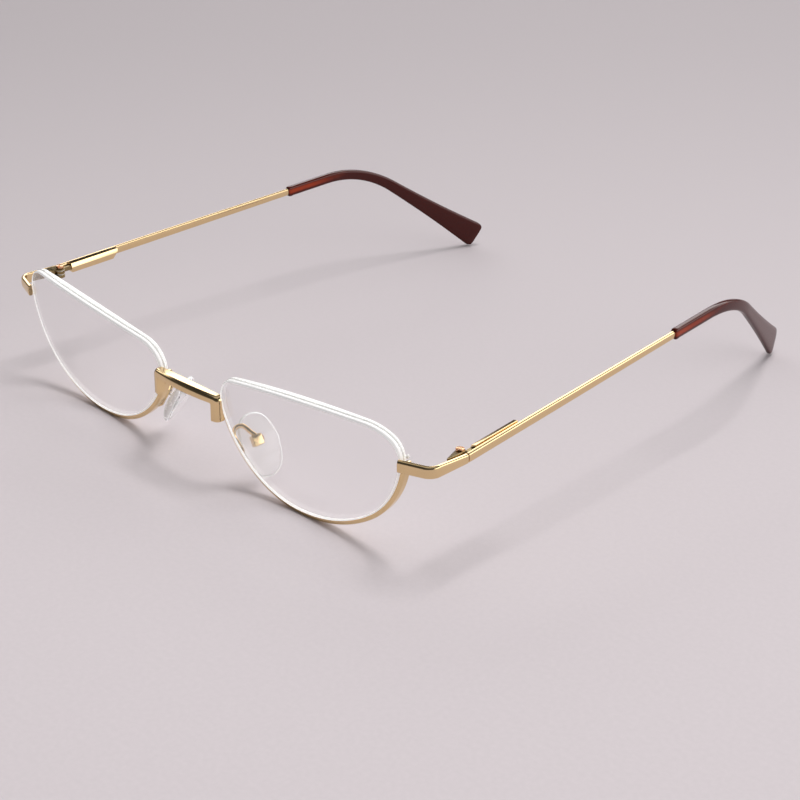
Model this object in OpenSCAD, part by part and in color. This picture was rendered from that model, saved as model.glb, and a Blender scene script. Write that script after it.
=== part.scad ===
// Half-rim reading glasses, standing open on a flat surface.
// Millimetres, +Z up, -Y is the front of the lenses, +X is the wearer's left side.
// The origin is on the floor, midway across and midway from front to back.
// Each side is drawn once for +X and mirrored for -X.

/* [Lenses] */
// Lens width across the widest part
lens_w = 50.6; // [46:0.1:54]
// Lens centre, sideways from the middle of the frame
lens_x = 35.2; // [33:0.1:38]
// Front curve radius of the lens
lens_curve = 96; // [80:1:130]
// Back curve radius of the lens
lens_back_curve = 118; // [105:1:160]
// Lens thickness at its centre
lens_ct = 2.75; // [2.5:0.05:3.2]
// Radius of the small outer part of the top edge
r_shoulder = 11.9; // [10:0.1:15]
// Radius of the upper nose-side corner
r_nose_corner = 6.8; // [5.5:0.1:8]
// Radius of the bottom edge
r_bottom = 33; // [28:0.5:38]
// Radius of the lower outer edge
r_outer_low = 20.4; // [18:0.1:23]
// Radius of the upper outer corner
r_outer_corner = 5.6; // [4.5:0.1:7]
// Lean of the lens, top edge forward, in degrees
lens_tilt = 7.7; // [4:0.1:10]
// Wrap of each lens round the face, in degrees
lens_wrap = 3.2; // [1:0.1:6]

/* [Rim] */
// Rim wall outside the lens edge
rim_t = 0.95; // [0.8:0.05:1.1]
// Rim depth, front to back
rim_d = 1.7; // [1.4:0.05:1.9]
// Rim front, behind the lens front edge
rim_in = 0.3; // [0.2:0.05:0.5]
// Width of the groove in the rim and in the lens edge
groove_w = 0.56; // [0.5:0.02:0.62]
// Depth of the groove in the rim and in the lens edge
groove_d = 0.42; // [0.35:0.01:0.45]
// Height of the rim's nose-side end above the lens centre
rim_end_nose = 3.9; // [2.5:0.1:4.5]
// Height of the rim's outer end above the lens centre
rim_end_outer = 6.4; // [5.6:0.1:7.2]
// Depth of the flat that the rim stands on
rim_flat = 0.03; // [0.01:0.01:0.05]
// Nylon cord diameter
cord_dia = 0.5; // [0.4:0.02:0.5]

/* [Bridge] */
// Height of the bridge's top at its two ends
bridge_z = 19.3; // [18.6:0.1:20]
// Rise of the bridge's top in the middle
bridge_rise = 0.5; // [0.2:0.1:1]
// Height of the bridge bar at its ends
bridge_h = 1.55; // [1.3:0.05:1.9]
// Arch of the bar's underside
bridge_arch = 0.15; // [0.05:0.05:0.3]
// Reach of each tab over the nose-side edge of the lens
tab_lap = 0.8; // [0.3:0.1:1.3]
// Thickness of each tab, sideways
tab_t = 1.9; // [1.6:0.05:2.2]
// Height of the tab's lower end
tab_low = 13.7; // [12.8:0.1:14.5]
// Front face of the tabs
tab_front = 0.1; // [-0.3:0.05:0.5]
// Bow of the bridge's front face
bridge_bow = 1.3; // [0.8:0.1:1.5]
// Bow of the bridge's back face
bridge_back_bow = 1.4; // [0.9:0.1:1.6]
// Depth of the bridge at its ends
bridge_d = 2.2; // [2:0.05:2.6]

/* [End piece] */
// Lap of the end piece over the outer edge of the lens
ep_lap = 0.1; // [0:0.1:0.7]
// Front face of the end piece, in front of the lens front at that edge
ep_proud = 1; // [0.8:0.01:1.3]
// Outer side face of the end piece
ep_x1 = 67.6; // [67.2:0.1:68.4]
// Sweep of the front part, in degrees
ep_sweep = 19.5; // [15:0.5:23]
// Outside radius of the bend
ep_r = 3; // [2.4:0.1:3.6]
// Height of the band at its start
ep_h0 = 2.65; // [2.3:0.05:3]
// Height of the band at the hinge
ep_h1 = 2; // [1.8:0.05:2.2]
// Thickness of the band
ep_t = 1.1; // [0.95:0.05:1.2]

/* [Hinge] */
// Hinge pin, sideways
pin_x = 65.2; // [65:0.05:65.3]
// Hinge pin, from the lens centre backwards
pin_y = 15.4; // [14.5:0.1:16.5]
// Middle height of the hinge
pin_z = 21.2; // [20.8:0.1:21.6]
// Radius of the hinge eyes
eye_r = 1.1; // [1:0.02:1.15]
// Height of each outer eye
eye_h = 0.75; // [0.65:0.05:0.85]
// Height of the middle eye
mid_eye_h = 0.7; // [0.66:0.02:0.8]
// Washer thickness
washer_t = 0.12; // [0.1:0.01:0.15]
// Free play between the stacked hinge parts
play = 0.05; // [0.03:0.01:0.06]
// Hinge screw diameter
screw_d = 1.2; // [1.1:0.05:1.3]
// Spring housing length
house_l = 13; // [12:0.5:14.5]
// Spring housing thickness
house_t = 1.4; // [1.35:0.05:1.6]
// Spring housing height
house_h = 2.4; // [2.2:0.05:2.6]
// Spring wire diameter
wire_d = 0.16; // [0.14:0.01:0.18]
// Spring coil outside diameter
coil_d = 0.94; // [0.86:0.02:0.96]
// Turns of the spring
coil_n = 8; // [6:1:9]

/* [Temples] */
// Inner face of the temple bar, sideways from the hinge pin
pin_bar = 1.25; // [1.2:0.05:1.35]
// Bar thickness at the hinge
bar_t = 1.1; // [1:0.05:1.2]
// Bar height at the hinge
bar_h = 2; // [1.9:0.05:2.1]
// Bar thickness at the tip sleeve
bar_t1 = 0.95; // [0.9:0.05:1]
// Bar height at the tip sleeve
bar_h1 = 1.7; // [1.6:0.05:1.8]
// Distance from the pin to the tip sleeve
bar_l = 68.6; // [64:0.2:74]
// Inward run of the bar, in degrees
temple_in = 3.9; // [3:0.1:4.5]
// Straight length of the sleeve
tip_straight = 12.8; // [8:0.1:15]
// Radius of the ear bend
tip_r = 30; // [24:0.5:34]
// Turn of the ear bend, in degrees
tip_turn = 41; // [35:0.5:43]
// Lean of the bend plane inwards, in degrees
tip_lean = 19; // [14:0.5:23]
// Length of the sleeve after the bend
tip_drop = 31; // [28:0.5:34]
// Sleeve height where it starts
sleeve_h = 2.45; // [2.25:0.05:2.6]
// Sleeve thickness
sleeve_t = 1.6; // [1.5:0.05:1.8]
// Height of the flared end
paddle_h = 7; // [6:0.1:7.5]
// Depth of the flat that the sleeve's end stands on
tip_flat = 0.1; // [0.05:0.01:0.2]

/* [Nose pads] */
// Pad centre, from the nose-side edge of the lens outwards
pad_in = 4.7; // [4.2:0.1:5.4]
// Pad centre, from the lens centre backwards
pad_y = 9.7; // [9.3:0.1:10.3]
// Pad centre height
pad_z = 7.6; // [7.2:0.1:8.2]
// Pad length
pad_l = 13.6; // [12:0.1:14]
// Pad width
pad_w = 8; // [7:0.1:8.4]
// Pad thickness at its middle
pad_t = 2.6; // [2.3:0.05:2.8]
// Splay of the pad, in degrees
pad_splay = 28.5; // [25:0.5:32]
// Turn of the pad towards the nose, in degrees
pad_front = 21; // [18:0.5:24]
// Fore and aft lean of the pad, in degrees
pad_lean = 12; // [8:0.5:14]
// Pad arm wire diameter
arm_d = 0.95; // [0.85:0.05:1]

/* [Hidden] */
$fn = 96;
gold = "#d8b27a";
clear = "#e8f0f4";
horn = "#4a1208";

// Lens outline: a closed chain of seven arcs, each tangent to the next.
// The angles are those of the outward normals where one arc passes to the next.
turn = [59, 85.2, 105.2, 202, 264, 304, 352.9, 419];
function leap(i) = [cos(turn[i + 1]) - cos(turn[i]), sin(turn[i + 1]) - sin(turn[i])];
known = [r_shoulder, 0, r_nose_corner, 0, r_bottom, r_outer_low, r_outer_corner];
gap_sum = [for (k = [0, 1]) known[0] * leap(0)[k] + known[2] * leap(2)[k] + known[4] * leap(4)[k]
  + known[5] * leap(5)[k] + known[6] * leap(6)[k]];
// The top and the lower nose-side radius are the two that close the loop
det = leap(1)[0] * leap(3)[1] - leap(1)[1] * leap(3)[0];
r_top = (-gap_sum[0] * leap(3)[1] + gap_sum[1] * leap(3)[0]) / det;
r_nose_low = (-leap(1)[0] * gap_sum[1] + leap(1)[1] * gap_sum[0]) / det;
raw_r = [r_shoulder, r_top, r_nose_corner, r_nose_low, r_bottom, r_outer_low, r_outer_corner];
function raw_p(i) = i == 0 ? [0, 0] : raw_p(i - 1) + raw_r[i - 1] * leap(i - 1);
function norm_at(a) = [cos(a), sin(a)];
function raw_c(i) = raw_p(i) - raw_r[i] * norm_at(turn[i]);
raw_w = raw_c(6)[0] + raw_r[6] - (raw_c(2)[0] - raw_r[2]);
size_k = lens_w / raw_w;
raw_mid = [(raw_c(6)[0] + raw_r[6] + raw_c(2)[0] - raw_r[2]) / 2,
  (raw_c(1)[1] + raw_r[1] + raw_c(4)[1] - raw_r[4]) / 2];
arc_r = [for (i = [0:6]) raw_r[i] * size_k];
arc_c = [for (i = [0:6]) (raw_c(i) - raw_mid) * size_k];
lens_h = arc_c[1][1] + arc_r[1] - (arc_c[4][1] - arc_r[4]);
function arc_of(a) = a < turn[0] ? 6 : a >= turn[6] ? 6 : a >= turn[5] ? 5 : a >= turn[4] ? 4
  : a >= turn[3] ? 3 : a >= turn[2] ? 2 : a >= turn[1] ? 1 : 0;
function edge_at(a, off) = arc_c[arc_of(a)] + (arc_r[arc_of(a)] + off) * norm_at(a);
// Depth behind the middle of the lens front for a point of the front curve
function sag(p, d = 0) = lens_curve - sqrt(pow(lens_curve - d, 2) - p[0] * p[0] - p[1] * p[1]);
// Middle of the lens edge and of the rim, behind the front edge
mid_d = rim_in + rim_d / 2;

// Edges of the lens on the nose side and on the outside
nose_edge = lens_x - lens_w / 2;
outer_edge = lens_x + lens_w / 2;
tab_x = nose_edge + tab_lap;
pad_x = nose_edge + pad_in;
ep_x0 = outer_edge - ep_lap;

// The lens stands so that the rim's lowest point is on the floor
low_list = [for (a = [240:1:300]) edge_at(a, rim_t)[1] * cos(lens_tilt)
  + sag(edge_at(a, rim_t), rim_in) * sin(lens_tilt)];
lens_z = -min(low_list) - rim_flat;
outer_p = edge_at(360, 0);
ep_y0 = from_lens([outer_p[0], sag(outer_p), outer_p[1]])[1] - ep_proud;
echo(end_piece_front = ep_y0, end_piece_start = ep_x0, tab_outside = tab_x, pad_across = pad_x);
echo(lens_height = lens_h, lens_centre_height = lens_z, top_radius = arc_r[1], nose_low_radius = arc_r[3]);

// The ear bend runs in a plane that leans inwards
bend_q = [-sin(tip_lean), 0, -cos(tip_lean)];
bar_x = pin_bar + bar_t / 2;
s_bend = bar_l + tip_straight;
arc_len = tip_r * tip_turn * PI / 180;
s_end = s_bend + arc_len + tip_drop;
function ang_at(s) = s <= s_bend ? 0 : s >= s_bend + arc_len ? tip_turn : (s - s_bend) / tip_r * 180 / PI;
function dir_at(s) = [0, 1, 0] * cos(ang_at(s)) + bend_q * sin(ang_at(s));
function on_arc(s) = [bar_x, s_bend, 0] + tip_r * (sin(ang_at(s)) * [0, 1, 0] + (1 - cos(ang_at(s))) * bend_q);
function spine(s) = s <= s_bend ? [bar_x, s, 0]
  : s <= s_bend + arc_len ? on_arc(s)
  : on_arc(s_bend + arc_len) + (s - s_bend - arc_len) * dir_at(s);
function unit(v) = v / norm(v);
function up_at(s) = unit([0, 0, 1] - dir_at(s)[2] * dir_at(s));
function side_at(s) = cross(dir_at(s), up_at(s));
function flare(s) = let(f = max(0, (s - s_bend - 4) / (s_end - s_bend - 4)))
  sleeve_h + (paddle_h - sleeve_h) * pow(f, 2.2);
// Sleeve of the ear bend: rings from the bar to the flared end
sleeve_n = 20;
end_round = 1.4;
function shrink(s) = s < s_end - end_round ? 1
  : 1 - 0.32 * (1 - sqrt(max(0, 1 - pow((s - s_end + end_round) / end_round, 2))));
function sleeve_pt(a, h, t) = let(c = cos(a), s = sin(a), e = 0.55)
  [t / 2 * (c < 0 ? -1 : 1) * pow(abs(c), e), h / 2 * (s < 0 ? -1 : 1) * pow(abs(s), e)];
function sleeve_ring(s) = [for (j = [0:sleeve_n - 1])
  let(q = sleeve_pt(360 * (j + 0.5) / sleeve_n, flare(s) * (0.6 + 0.4 * shrink(s)), sleeve_t * shrink(s)))
  spine(s) + q[0] * side_at(s) + q[1] * up_at(s)];
sleeve_s = concat([for (k = [0:3]) bar_l + tip_straight * k / 4],
  [for (k = [0:15]) s_bend + arc_len * k / 16],
  [for (k = [0:11]) s_bend + arc_len + (tip_drop - end_round) * k / 11],
  [for (k = [0.45, 0.75, 0.93, 1]) s_end - end_round * (1 - k)]);
// The temple drops until the sleeve's end stands on the floor, a hair of it cut flat
end_rings = [for (i = [len(sleeve_s) - 8:len(sleeve_s) - 1]) for (p = sleeve_ring(sleeve_s[i])) p];
pitch = max([for (p = end_rings) asin((-tip_flat - pin_z) / norm([p[1], p[2]])) - atan2(p[2], p[1])]);
far_y = pin_y + max([for (p = end_rings) (p[1] * cos(pitch) - p[2] * sin(pitch)) * cos(temple_in) + p[0] * sin(temple_in)]);
near_y = tab_front - bridge_bow;
y_off = -(far_y + near_y) / 2;
echo(temple_pitch = pitch, back_end = far_y, front_end = near_y, shift_y = y_off);

// Placing
module both(s) {
  if (s > 0) translate([0, y_off, 0]) children();
  else mirror([1, 0, 0]) translate([0, y_off, 0]) children();
}
module on_lens() {
  translate([lens_x, 0, lens_z]) rotate([lens_tilt, 0, lens_wrap]) children();
}
module on_temple() {
  translate([pin_x, pin_y, pin_z]) rotate([pitch, 0, temple_in]) children();
}
module on_pin() {
  translate([pin_x, pin_y, pin_z]) children();
}
module on_pad() {
  translate([pad_x, pad_y, pad_z]) rotate([pad_lean, -pad_splay, -pad_front]) children();
}

// A flat outline of the lens, grown by off. Each arc is a slice of its circle seen from the middle.
// The tighter of two neighbours reaches a little into the other one. The wider one is set in by
// a few thousandths, so that the two cross instead of only touching.
function set_in(i) = 0.004 * ln(arc_r[i]);
function over(i, k) = arc_r[i] < arc_r[(k + 7) % 7] ? 7 : 0;
module slice(i, off) {
  r = arc_r[i] + off;
  a0 = turn[i] - over(i, i - 1);
  a1 = turn[i + 1] + over(i, i + 1);
  intersection() {
    translate(arc_c[i]) circle(r = r - set_in(i), $fn = 240);
    polygon([[0, 0], 2.5 * (arc_c[i] + r * norm_at(a0)), 3 * (arc_c[i] + r * norm_at((a0 + a1) / 2)),
      2.5 * (arc_c[i] + r * norm_at(a1))]);
  }
}
module outline(off = 0) {
  union() {
    polygon([for (i = [0:6]) for (f = [0.25, 0.75]) edge_at(turn[i] + f * (turn[i + 1] - turn[i]), off - 1.2)]);
    for (i = [0:6]) slice(i, off);
  }
}
// The outline as a column through the lens, from front to back
module column(off = 0) {
  translate([0, 14, 0]) rotate([90, 0, 0]) linear_extrude(height = 24) outline(off);
}
// A ball of the lens front curve, set back by d
module ball(d) {
  translate([0, lens_curve, 0]) sphere(r = lens_curve - d, $fn = 180);
}
// Everything below the two rim ends
module below_ends(drop = 0) {
  translate([0, 20, 0]) rotate([90, 0, 0]) linear_extrude(height = 40)
    polygon([[-40, rim_end_nose - 3.7 - drop], [-lens_w / 2, rim_end_nose - drop], [lens_w / 2, rim_end_outer - drop],
      [40, rim_end_outer + 3.7 - drop], [40, -40], [-40, -40]]);
}
// The room the rim takes, for the parts soldered to it
module rim_room() {
  on_lens() intersection() {
    difference() {
      column(rim_t);
      column(-1);
    }
    difference() {
      ball(rim_in);
      ball(rim_in + rim_d);
    }
  }
}
module lens_room() {
  on_lens() difference() {
    intersection() {
      column(0.08);
      ball(-0.08);
    }
    translate([0, lens_ct + lens_back_curve + 0.1, 0]) sphere(r = lens_back_curve, $fn = 180);
  }
}
// The groove that runs round the lens edge and the rim
module groove(inner, outer, w) {
  intersection() {
    difference() {
      column(outer);
      column(inner);
    }
    difference() {
      ball(mid_d - w / 2);
      ball(mid_d + w / 2);
    }
  }
}

module lens() {
  on_lens() difference() {
    intersection() {
      column(0);
      ball(0);
    }
    translate([0, lens_ct + lens_back_curve, 0]) sphere(r = lens_back_curve, $fn = 180);
    groove(-groove_d, 1, groove_w);
  }
}

module rim() {
  difference() {
    on_lens() difference() {
      intersection() {
        difference() {
          column(rim_t);
          column(0.03);
        }
        difference() {
          ball(rim_in);
          ball(rim_in + rim_d);
        }
        below_ends();
      }
      groove(-1, groove_d + 0.03, groove_w);
    }
    under();
  }
}

// The liner sits in the rim's groove and in the lens's groove, from cord end to cord end
module rim_liner() {
  on_lens() intersection() {
    groove(-groove_d + 0.03, groove_d, groove_w - 0.06);
    below_ends(3.2);
  }
}

// Skin over a row of rings
module skin(rings, capped = true) {
  n = len(rings);
  m = len(rings[0]);
  pts = [for (r = rings) for (p = r) p];
  sides = [for (i = [0:n - 2]) for (j = [0:m - 1]) let(a = i * m + j, b = i * m + (j + 1) % m) each
    [[a, b, b + m], [a, b + m, a + m]]];
  caps = [[for (j = [m - 1:-1:0]) j], [for (j = [0:m - 1]) (n - 1) * m + j]];
  polyhedron(points = pts, faces = concat(sides, caps), convexity = 10);
}
// Round wire along a list of points
function way(pts, i) = unit(pts[min(i + 1, len(pts) - 1)] - pts[max(i - 1, 0)]);
function any_side(d, ref) = unit(cross(d, ref));
module wire(pts, r, m, ref) {
  skin([for (i = [0:len(pts) - 1]) let(d = way(pts, i), a = any_side(d, ref), b = cross(a, d))
    [for (j = [0:m - 1]) pts[i] + r * (cos(360 * j / m) * a + sin(360 * j / m) * b)]]);
}

// The nylon cord lies in the groove over the top of the lens and ends inside the rim's groove.
// Its outer end comes up out of the rim as a small bead.
cord_off = cord_dia / 2 - groove_d + 0.03;
cord_a0 = 348.3;
cord_a1 = 201;
function cord_pt(a) = let(p = edge_at(a, cord_off)) [p[0], sag(p, mid_d), p[1]];
function span(a, b, n) = [for (k = [0:n - 1]) a + (b - a) * k / n];
cord_a = concat(span(cord_a0, turn[6], 2), span(turn[6], turn[7], 10), span(turn[0], turn[1], 7),
  span(turn[1], turn[2], 15), span(turn[2], cord_a1, 16), [cord_a1]);
cord_pts = [for (a = cord_a) cord_pt(a)];
module lens_cord() {
  on_lens() wire(cord_pts, cord_dia / 2, 8, [0, 1, 0]);
}

// Bridge: a bar bowed to the front, with a tab down the front of each rim
function bow_r(chord, rise) = (chord * chord / 4 + rise * rise) / (2 * rise);
module bridge_plan() {
  rf = bow_r(2 * tab_x, bridge_bow);
  rb = bow_r(2 * tab_x, bridge_back_bow);
  difference() {
    intersection() {
      translate([0, tab_front - bridge_bow + rf]) circle(r = rf, $fn = 720);
      translate([-tab_x, tab_front - 3]) square([2 * tab_x, 3 + bridge_d]);
    }
    translate([0, tab_front + bridge_d - bridge_back_bow + rb]) circle(r = rb, $fn = 720);
  }
}
// The corners are full circles that reach out of a body set in by a hair
hair = 0.002;
corner_r = 1.3;
module bridge_front() {
  r_up = bow_r(2 * tab_x, bridge_rise);
  cz = bridge_z + bridge_rise - r_up;
  kx = tab_x - corner_r;
  kz = cz + sqrt(pow(r_up - corner_r, 2) - kx * kx);
  tx = kx * r_up / (r_up - corner_r);
  tz = cz + (kz - cz) * r_up / (r_up - corner_r);
  span = tab_x - tab_t;
  r_in = bow_r(2 * span, bridge_arch);
  difference() {
    union() {
      intersection() {
        translate([0, cz]) circle(r = r_up - hair, $fn = 1440);
        polygon([[-tab_x + hair, tab_low], [tab_x - hair, tab_low], [tab_x - hair, kz], [tx, tz], [tx, tz + 3],
          [-tx, tz + 3], [-tx, tz], [-tab_x + hair, kz]]);
      }
      for (s = [-1, 1]) translate([s * kx, kz]) circle(r = corner_r);
    }
    intersection() {
      translate([-span, tab_low - 1]) square([2 * span, 9]);
      translate([0, bridge_z - bridge_h + bridge_arch - r_in]) circle(r = r_in, $fn = 1440);
    }
  }
}
module bridge() {
  translate([0, y_off, 0]) difference() {
    intersection() {
      linear_extrude(height = 30) bridge_plan();
      translate([0, 10, 0]) rotate([90, 0, 0]) linear_extrude(height = 20) bridge_front();
    }
    for (s = [0, 1]) mirror([s, 0, 0]) {
      rim_room();
      lens_room();
    }
  }
}

// End piece: a flat band from the front of the rim round to the hinge
ep_c = [ep_x1 - ep_r, ep_y0 + (ep_x1 - ep_x0) * tan(ep_sweep) + ep_r * tan(45 - ep_sweep / 2)];
split_y = pin_y + 0.08;
// Everything inside a line of the band, at the depth d from its outer face
module ep_inside(d, more) {
  n = [sin(ep_sweep), -cos(ep_sweep)];
  u = [cos(ep_sweep), sin(ep_sweep)];
  r = ep_r - d;
  g = 1 + more;
  a = ep_c + (r - hair) * n;
  b = ep_c + [r - hair, 0];
  l = (ep_c[0] - ep_x0) / u[0] + ep_r * tan(ep_sweep) + more;
  union() {
    polygon([a - l * u, a, b, [b[0], split_y + more], [ep_c[0] - g, split_y + more],
      ep_c + [-g, g * (1 - n[0]) / u[0]], ep_c - g * n - l * u]);
    translate(ep_c) circle(r = r);
  }
}
module ep_plan() {
  difference() {
    ep_inside(0, 0);
    ep_inside(ep_t, 3);
  }
}
module ep_side() {
  polygon([[0, pin_z - ep_h0 / 2], [0, pin_z + ep_h0 / 2], [ep_c[1], pin_z + (ep_h0 + ep_h1) / 4 + 0.1],
    [split_y, pin_z + ep_h1 / 2], [split_y + 1, pin_z + ep_h1 / 2], [split_y + 1, pin_z - ep_h1 / 2],
    [split_y, pin_z - ep_h1 / 2], [ep_c[1], pin_z - (ep_h0 + ep_h1) / 4 - 0.1]]);
}
module end_piece() {
  difference() {
    intersection() {
      linear_extrude(height = 40) ep_plan();
      translate([50, 0, 0]) rotate([90, 0, 90]) linear_extrude(height = 30) ep_side();
    }
    rim_room();
    lens_room();
  }
}

// Hinge stack heights, from the middle outwards
z_mid = mid_eye_h / 2;
z_w0 = z_mid + play;
z_w1 = z_w0 + washer_t;
z_e0 = z_w1 + play;
z_e1 = z_e0 + eye_h;
ep_in = ep_x1 - ep_t - hair - pin_x;
module front_hinge() {
  on_pin() difference() {
    union() {
      for (s = [-1, 1]) translate([0, 0, s * (z_e0 + z_e1) / 2]) {
        cylinder(r = eye_r, h = eye_h, center = true);
        translate([ep_in / 2 - 0.1, -1.5, 0]) cube([ep_in + 0.2 - 0.4, 2.4, eye_h], center = true);
      }
      translate([ep_in - 0.65, -4.6, -z_e1 + 0.35]) cube([0.65, 3.2, 2 * z_e1 - 0.7]);
    }
    cylinder(r = screw_d / 2 + 0.03, h = 8);
    translate([0, 0, -8]) cylinder(r = screw_d / 2, h = 8);
    translate([0, 0, z_e1 - 0.15]) cylinder(r = screw_d / 2 + 0.3, h = 2);
    // Nothing passes the end piece's inner face
    translate([ep_in, -20, -5]) cube([5, 40, 10]);
  }
}
module hinge_screw() {
  on_pin() difference() {
    union() {
      translate([0, 0, -z_e1]) cylinder(r = screw_d / 2, h = 2 * z_e1 - 0.15);
      translate([0, 0, z_e1 - 0.15]) cylinder(r = screw_d / 2 + 0.25, h = 0.5);
    }
    translate([0, 0, z_e1 + 0.35]) cube([3, 0.22, 0.36], center = true);
  }
}
module hinge_washer() {
  on_pin() for (s = [-1, 1]) translate([0, 0, s * (z_w0 + z_w1) / 2]) difference() {
    cylinder(r = eye_r - 0.05, h = washer_t, center = true);
    cylinder(r = screw_d / 2 + 0.04, h = 2, center = true);
  }
}

// The sprung half of the hinge lies along the temple
house_y = 3.2;
link_x = pin_bar - house_t / 2;
chamber_y = 6.9;
keeper_y = 12.3;
module hinge_link() {
  difference() {
    union() {
      on_pin() cylinder(r = eye_r, h = mid_eye_h, center = true);
      on_temple() {
        translate([0.05, 0.3, -0.3]) cube([0.75, 1.3, 0.6]);
        translate([link_x - 0.4, 1.4, -0.5]) cube([0.8, 4.6, 1]);
        translate([link_x, 5.9, 0]) rotate([-90, 0, 0]) cylinder(r = 0.24, h = 7.2, $fn = 32);
      }
    }
    on_pin() cylinder(r = screw_d / 2 + 0.05, h = 4, center = true);
    on_pin() for (s = [-1, 1]) translate([0, 0, s * (z_mid + 1)]) cylinder(r = eye_r + 0.12, h = 2, center = true);
  }
}
module spring_keeper() {
  on_temple() translate([link_x, keeper_y, 0]) rotate([-90, 0, 0]) difference() {
    cylinder(r = 0.46, h = 0.7, $fn = 48);
    translate([0, 0, -1]) cylinder(r = 0.24, h = 4, $fn = 32);
  }
}
coil_y0 = chamber_y + wire_d / 2 + 0.02;
coil_y1 = keeper_y - wire_d / 2 - 0.02;
coil_pitch = (coil_y1 - coil_y0) / coil_n;
echo(spring_gap_to_itself = coil_pitch - wire_d, spring_rings = coil_n * 8 + 1);
module coil_spring() {
  r = (coil_d - wire_d) / 2;
  on_temple() skin([for (i = [0:coil_n * 8]) let(a = i * 45, c = [link_x + r * cos(a), coil_y0 + i * coil_pitch / 8, r * sin(a)],
    n = [cos(a), 0, sin(a)], b = [0, 1, 0])
    [for (j = [0:5]) c + wire_d / 2 * (cos(60 * j) * n + sin(60 * j) * b)]]);
}
module spring_housing() {
  on_temple() difference() {
    translate([pin_bar, 0, 0]) rotate([0, -90, 0]) linear_extrude(height = house_t) polygon([
      [-house_h / 2 + 0.3, house_y], [house_h / 2, house_y], [house_h / 2, house_y + house_l],
      [house_h / 2 - 0.8, house_y + house_l], [-house_h / 2, house_y + house_l - 1.6], [-house_h / 2, house_y + 0.3]]);
    // Slot for the flat part of the link
    translate([link_x - 0.45, house_y - 1, -0.55]) cube([0.9, 1 + 6.3 - house_y, 1.1]);
    translate([link_x, 5, 0]) rotate([-90, 0, 0]) cylinder(r = 0.29, h = 4, $fn = 32);
    // Spring chamber
    translate([link_x, chamber_y, 0]) rotate([-90, 0, 0]) cylinder(r = 0.52, h = 6.9, $fn = 48);
  }
}

// Temple bar with its core wire inside the sleeve
function core_ring(s) = [for (p = [[1, 0.7], [0.7, 1], [-0.7, 1], [-1, 0.7], [-1, -0.7], [-0.7, -1], [0.7, -1], [1, -0.7]])
  spine(s) + 0.42 * p[0] * side_at(s) + 0.42 * p[1] * up_at(s)];
core_grow = 0.06;
function room_ring(s) = [for (p = [[1, 0.7], [0.7, 1], [-0.7, 1], [-1, 0.7], [-1, -0.7], [-0.7, -1], [0.7, -1], [1, -0.7]])
  spine(s) + (0.42 + core_grow) * p[0] * side_at(s) + (0.42 + core_grow) * p[1] * up_at(s)];
s_core = bar_l + 1.2;
s_core1 = s_end - 14;
core_s = [for (k = [0:24]) s_core - 0.4 + (s_core1 - s_core + 0.4) * k / 24];
module temple_bar() {
  on_temple() union() {
    intersection() {
      linear_extrude(height = 10, center = true) polygon([[pin_bar, 0.2], [pin_bar + bar_t, 0.2],
        [bar_x + bar_t1 / 2, s_core], [bar_x - bar_t1 / 2, s_core], [pin_bar, 24]]);
      rotate([90, 0, 90]) linear_extrude(height = 10) polygon([[0.2, -bar_h / 2], [24, -bar_h / 2], [s_core, -bar_h1 / 2],
        [s_core, bar_h1 / 2], [24, bar_h / 2], [0.2, bar_h / 2]]);
    }
    skin([for (s = core_s) core_ring(s)]);
  }
}

// What would be below the floor
module under() {
  translate([0, -100, -20]) cube([100, 300, 20]);
}
module temple_tip() {
  difference() {
    on_temple() skin([for (s = sleeve_s) sleeve_ring(s)]);
    // Mouth that takes the end of the bar
    on_temple() translate([bar_x - bar_t1 / 2 - 0.04, bar_l - 1, -bar_h1 / 2 - 0.04])
      cube([bar_t1 + 0.08, 2.2 + 0.04, bar_h1 + 0.08]);
    on_temple() skin([for (s = concat([s_core - 0.3], [for (i = [1:24]) core_s[i]], [s_core1 + 0.3])) room_ring(s)]);
    under();
  }
}

// Nose pad, in its own frame: +X away from the nose, +Y backwards, +Z up
pad_end_r = pad_w * 0.42;
module pad_shape() {
  // Two end circles and two side circles, each tangent to the next
  e = pad_l / 2 - pad_end_r;
  rs = (e * e + pow(pad_w / 2, 2) - pad_end_r * pad_end_r) / (pad_w - 2 * pad_end_r);
  ta = atan2(e, rs - pad_w / 2);
  k = pad_end_r * cos(ta);
  h = e + pad_end_r * sin(ta);
  union() {
    intersection() {
      translate([rs - pad_w / 2, 0]) circle(r = rs, $fn = 240);
      translate([pad_w / 2 - rs, 0]) circle(r = rs, $fn = 240);
      translate([-pad_w, -h]) square([2 * pad_w, 2 * h]);
    }
    for (s = [-1, 1]) translate([0, s * e]) circle(r = pad_end_r);
  }
}
pad_curve = 24;
box_n = 3;
box_w = -1.1;
box_l = 1.3;
// Wall of the box and the room its slot leaves the tongue, on each side
box_wall = 0.54;
tongue_t = 0.9;
box_side = tongue_t + 0.12 + 2 * box_wall;
module nose_pad() {
  on_pad() difference() {
    union() {
      intersection() {
        translate([-4, 0, 0]) rotate([90, 0, 90]) linear_extrude(height = 8) pad_shape();
        translate([pad_t / 2 - pad_curve, 0, 0]) sphere(r = pad_curve, $fn = 180);
        translate([pad_curve - pad_t / 2, 0, 0]) sphere(r = pad_curve, $fn = 180);
      }
      // Tongue that stands in the box
      translate([0.6, box_w - tongue_t / 2, box_l - 0.45]) cube([box_n - 0.6, tongue_t, 0.9]);
      translate([box_n, box_w, box_l]) rotate([90, 0, 0]) cylinder(r = 0.7, h = tongue_t, center = true, $fn = 64);
    }
    translate([box_n, box_w, box_l]) rotate([90, 0, 0]) cylinder(r = 0.33, h = 4, center = true, $fn = 48);
  }
}
module box_block() {
  translate([box_n + 0.1, box_w, box_l]) cube([2.1, box_side, 2.3], center = true);
}
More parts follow.
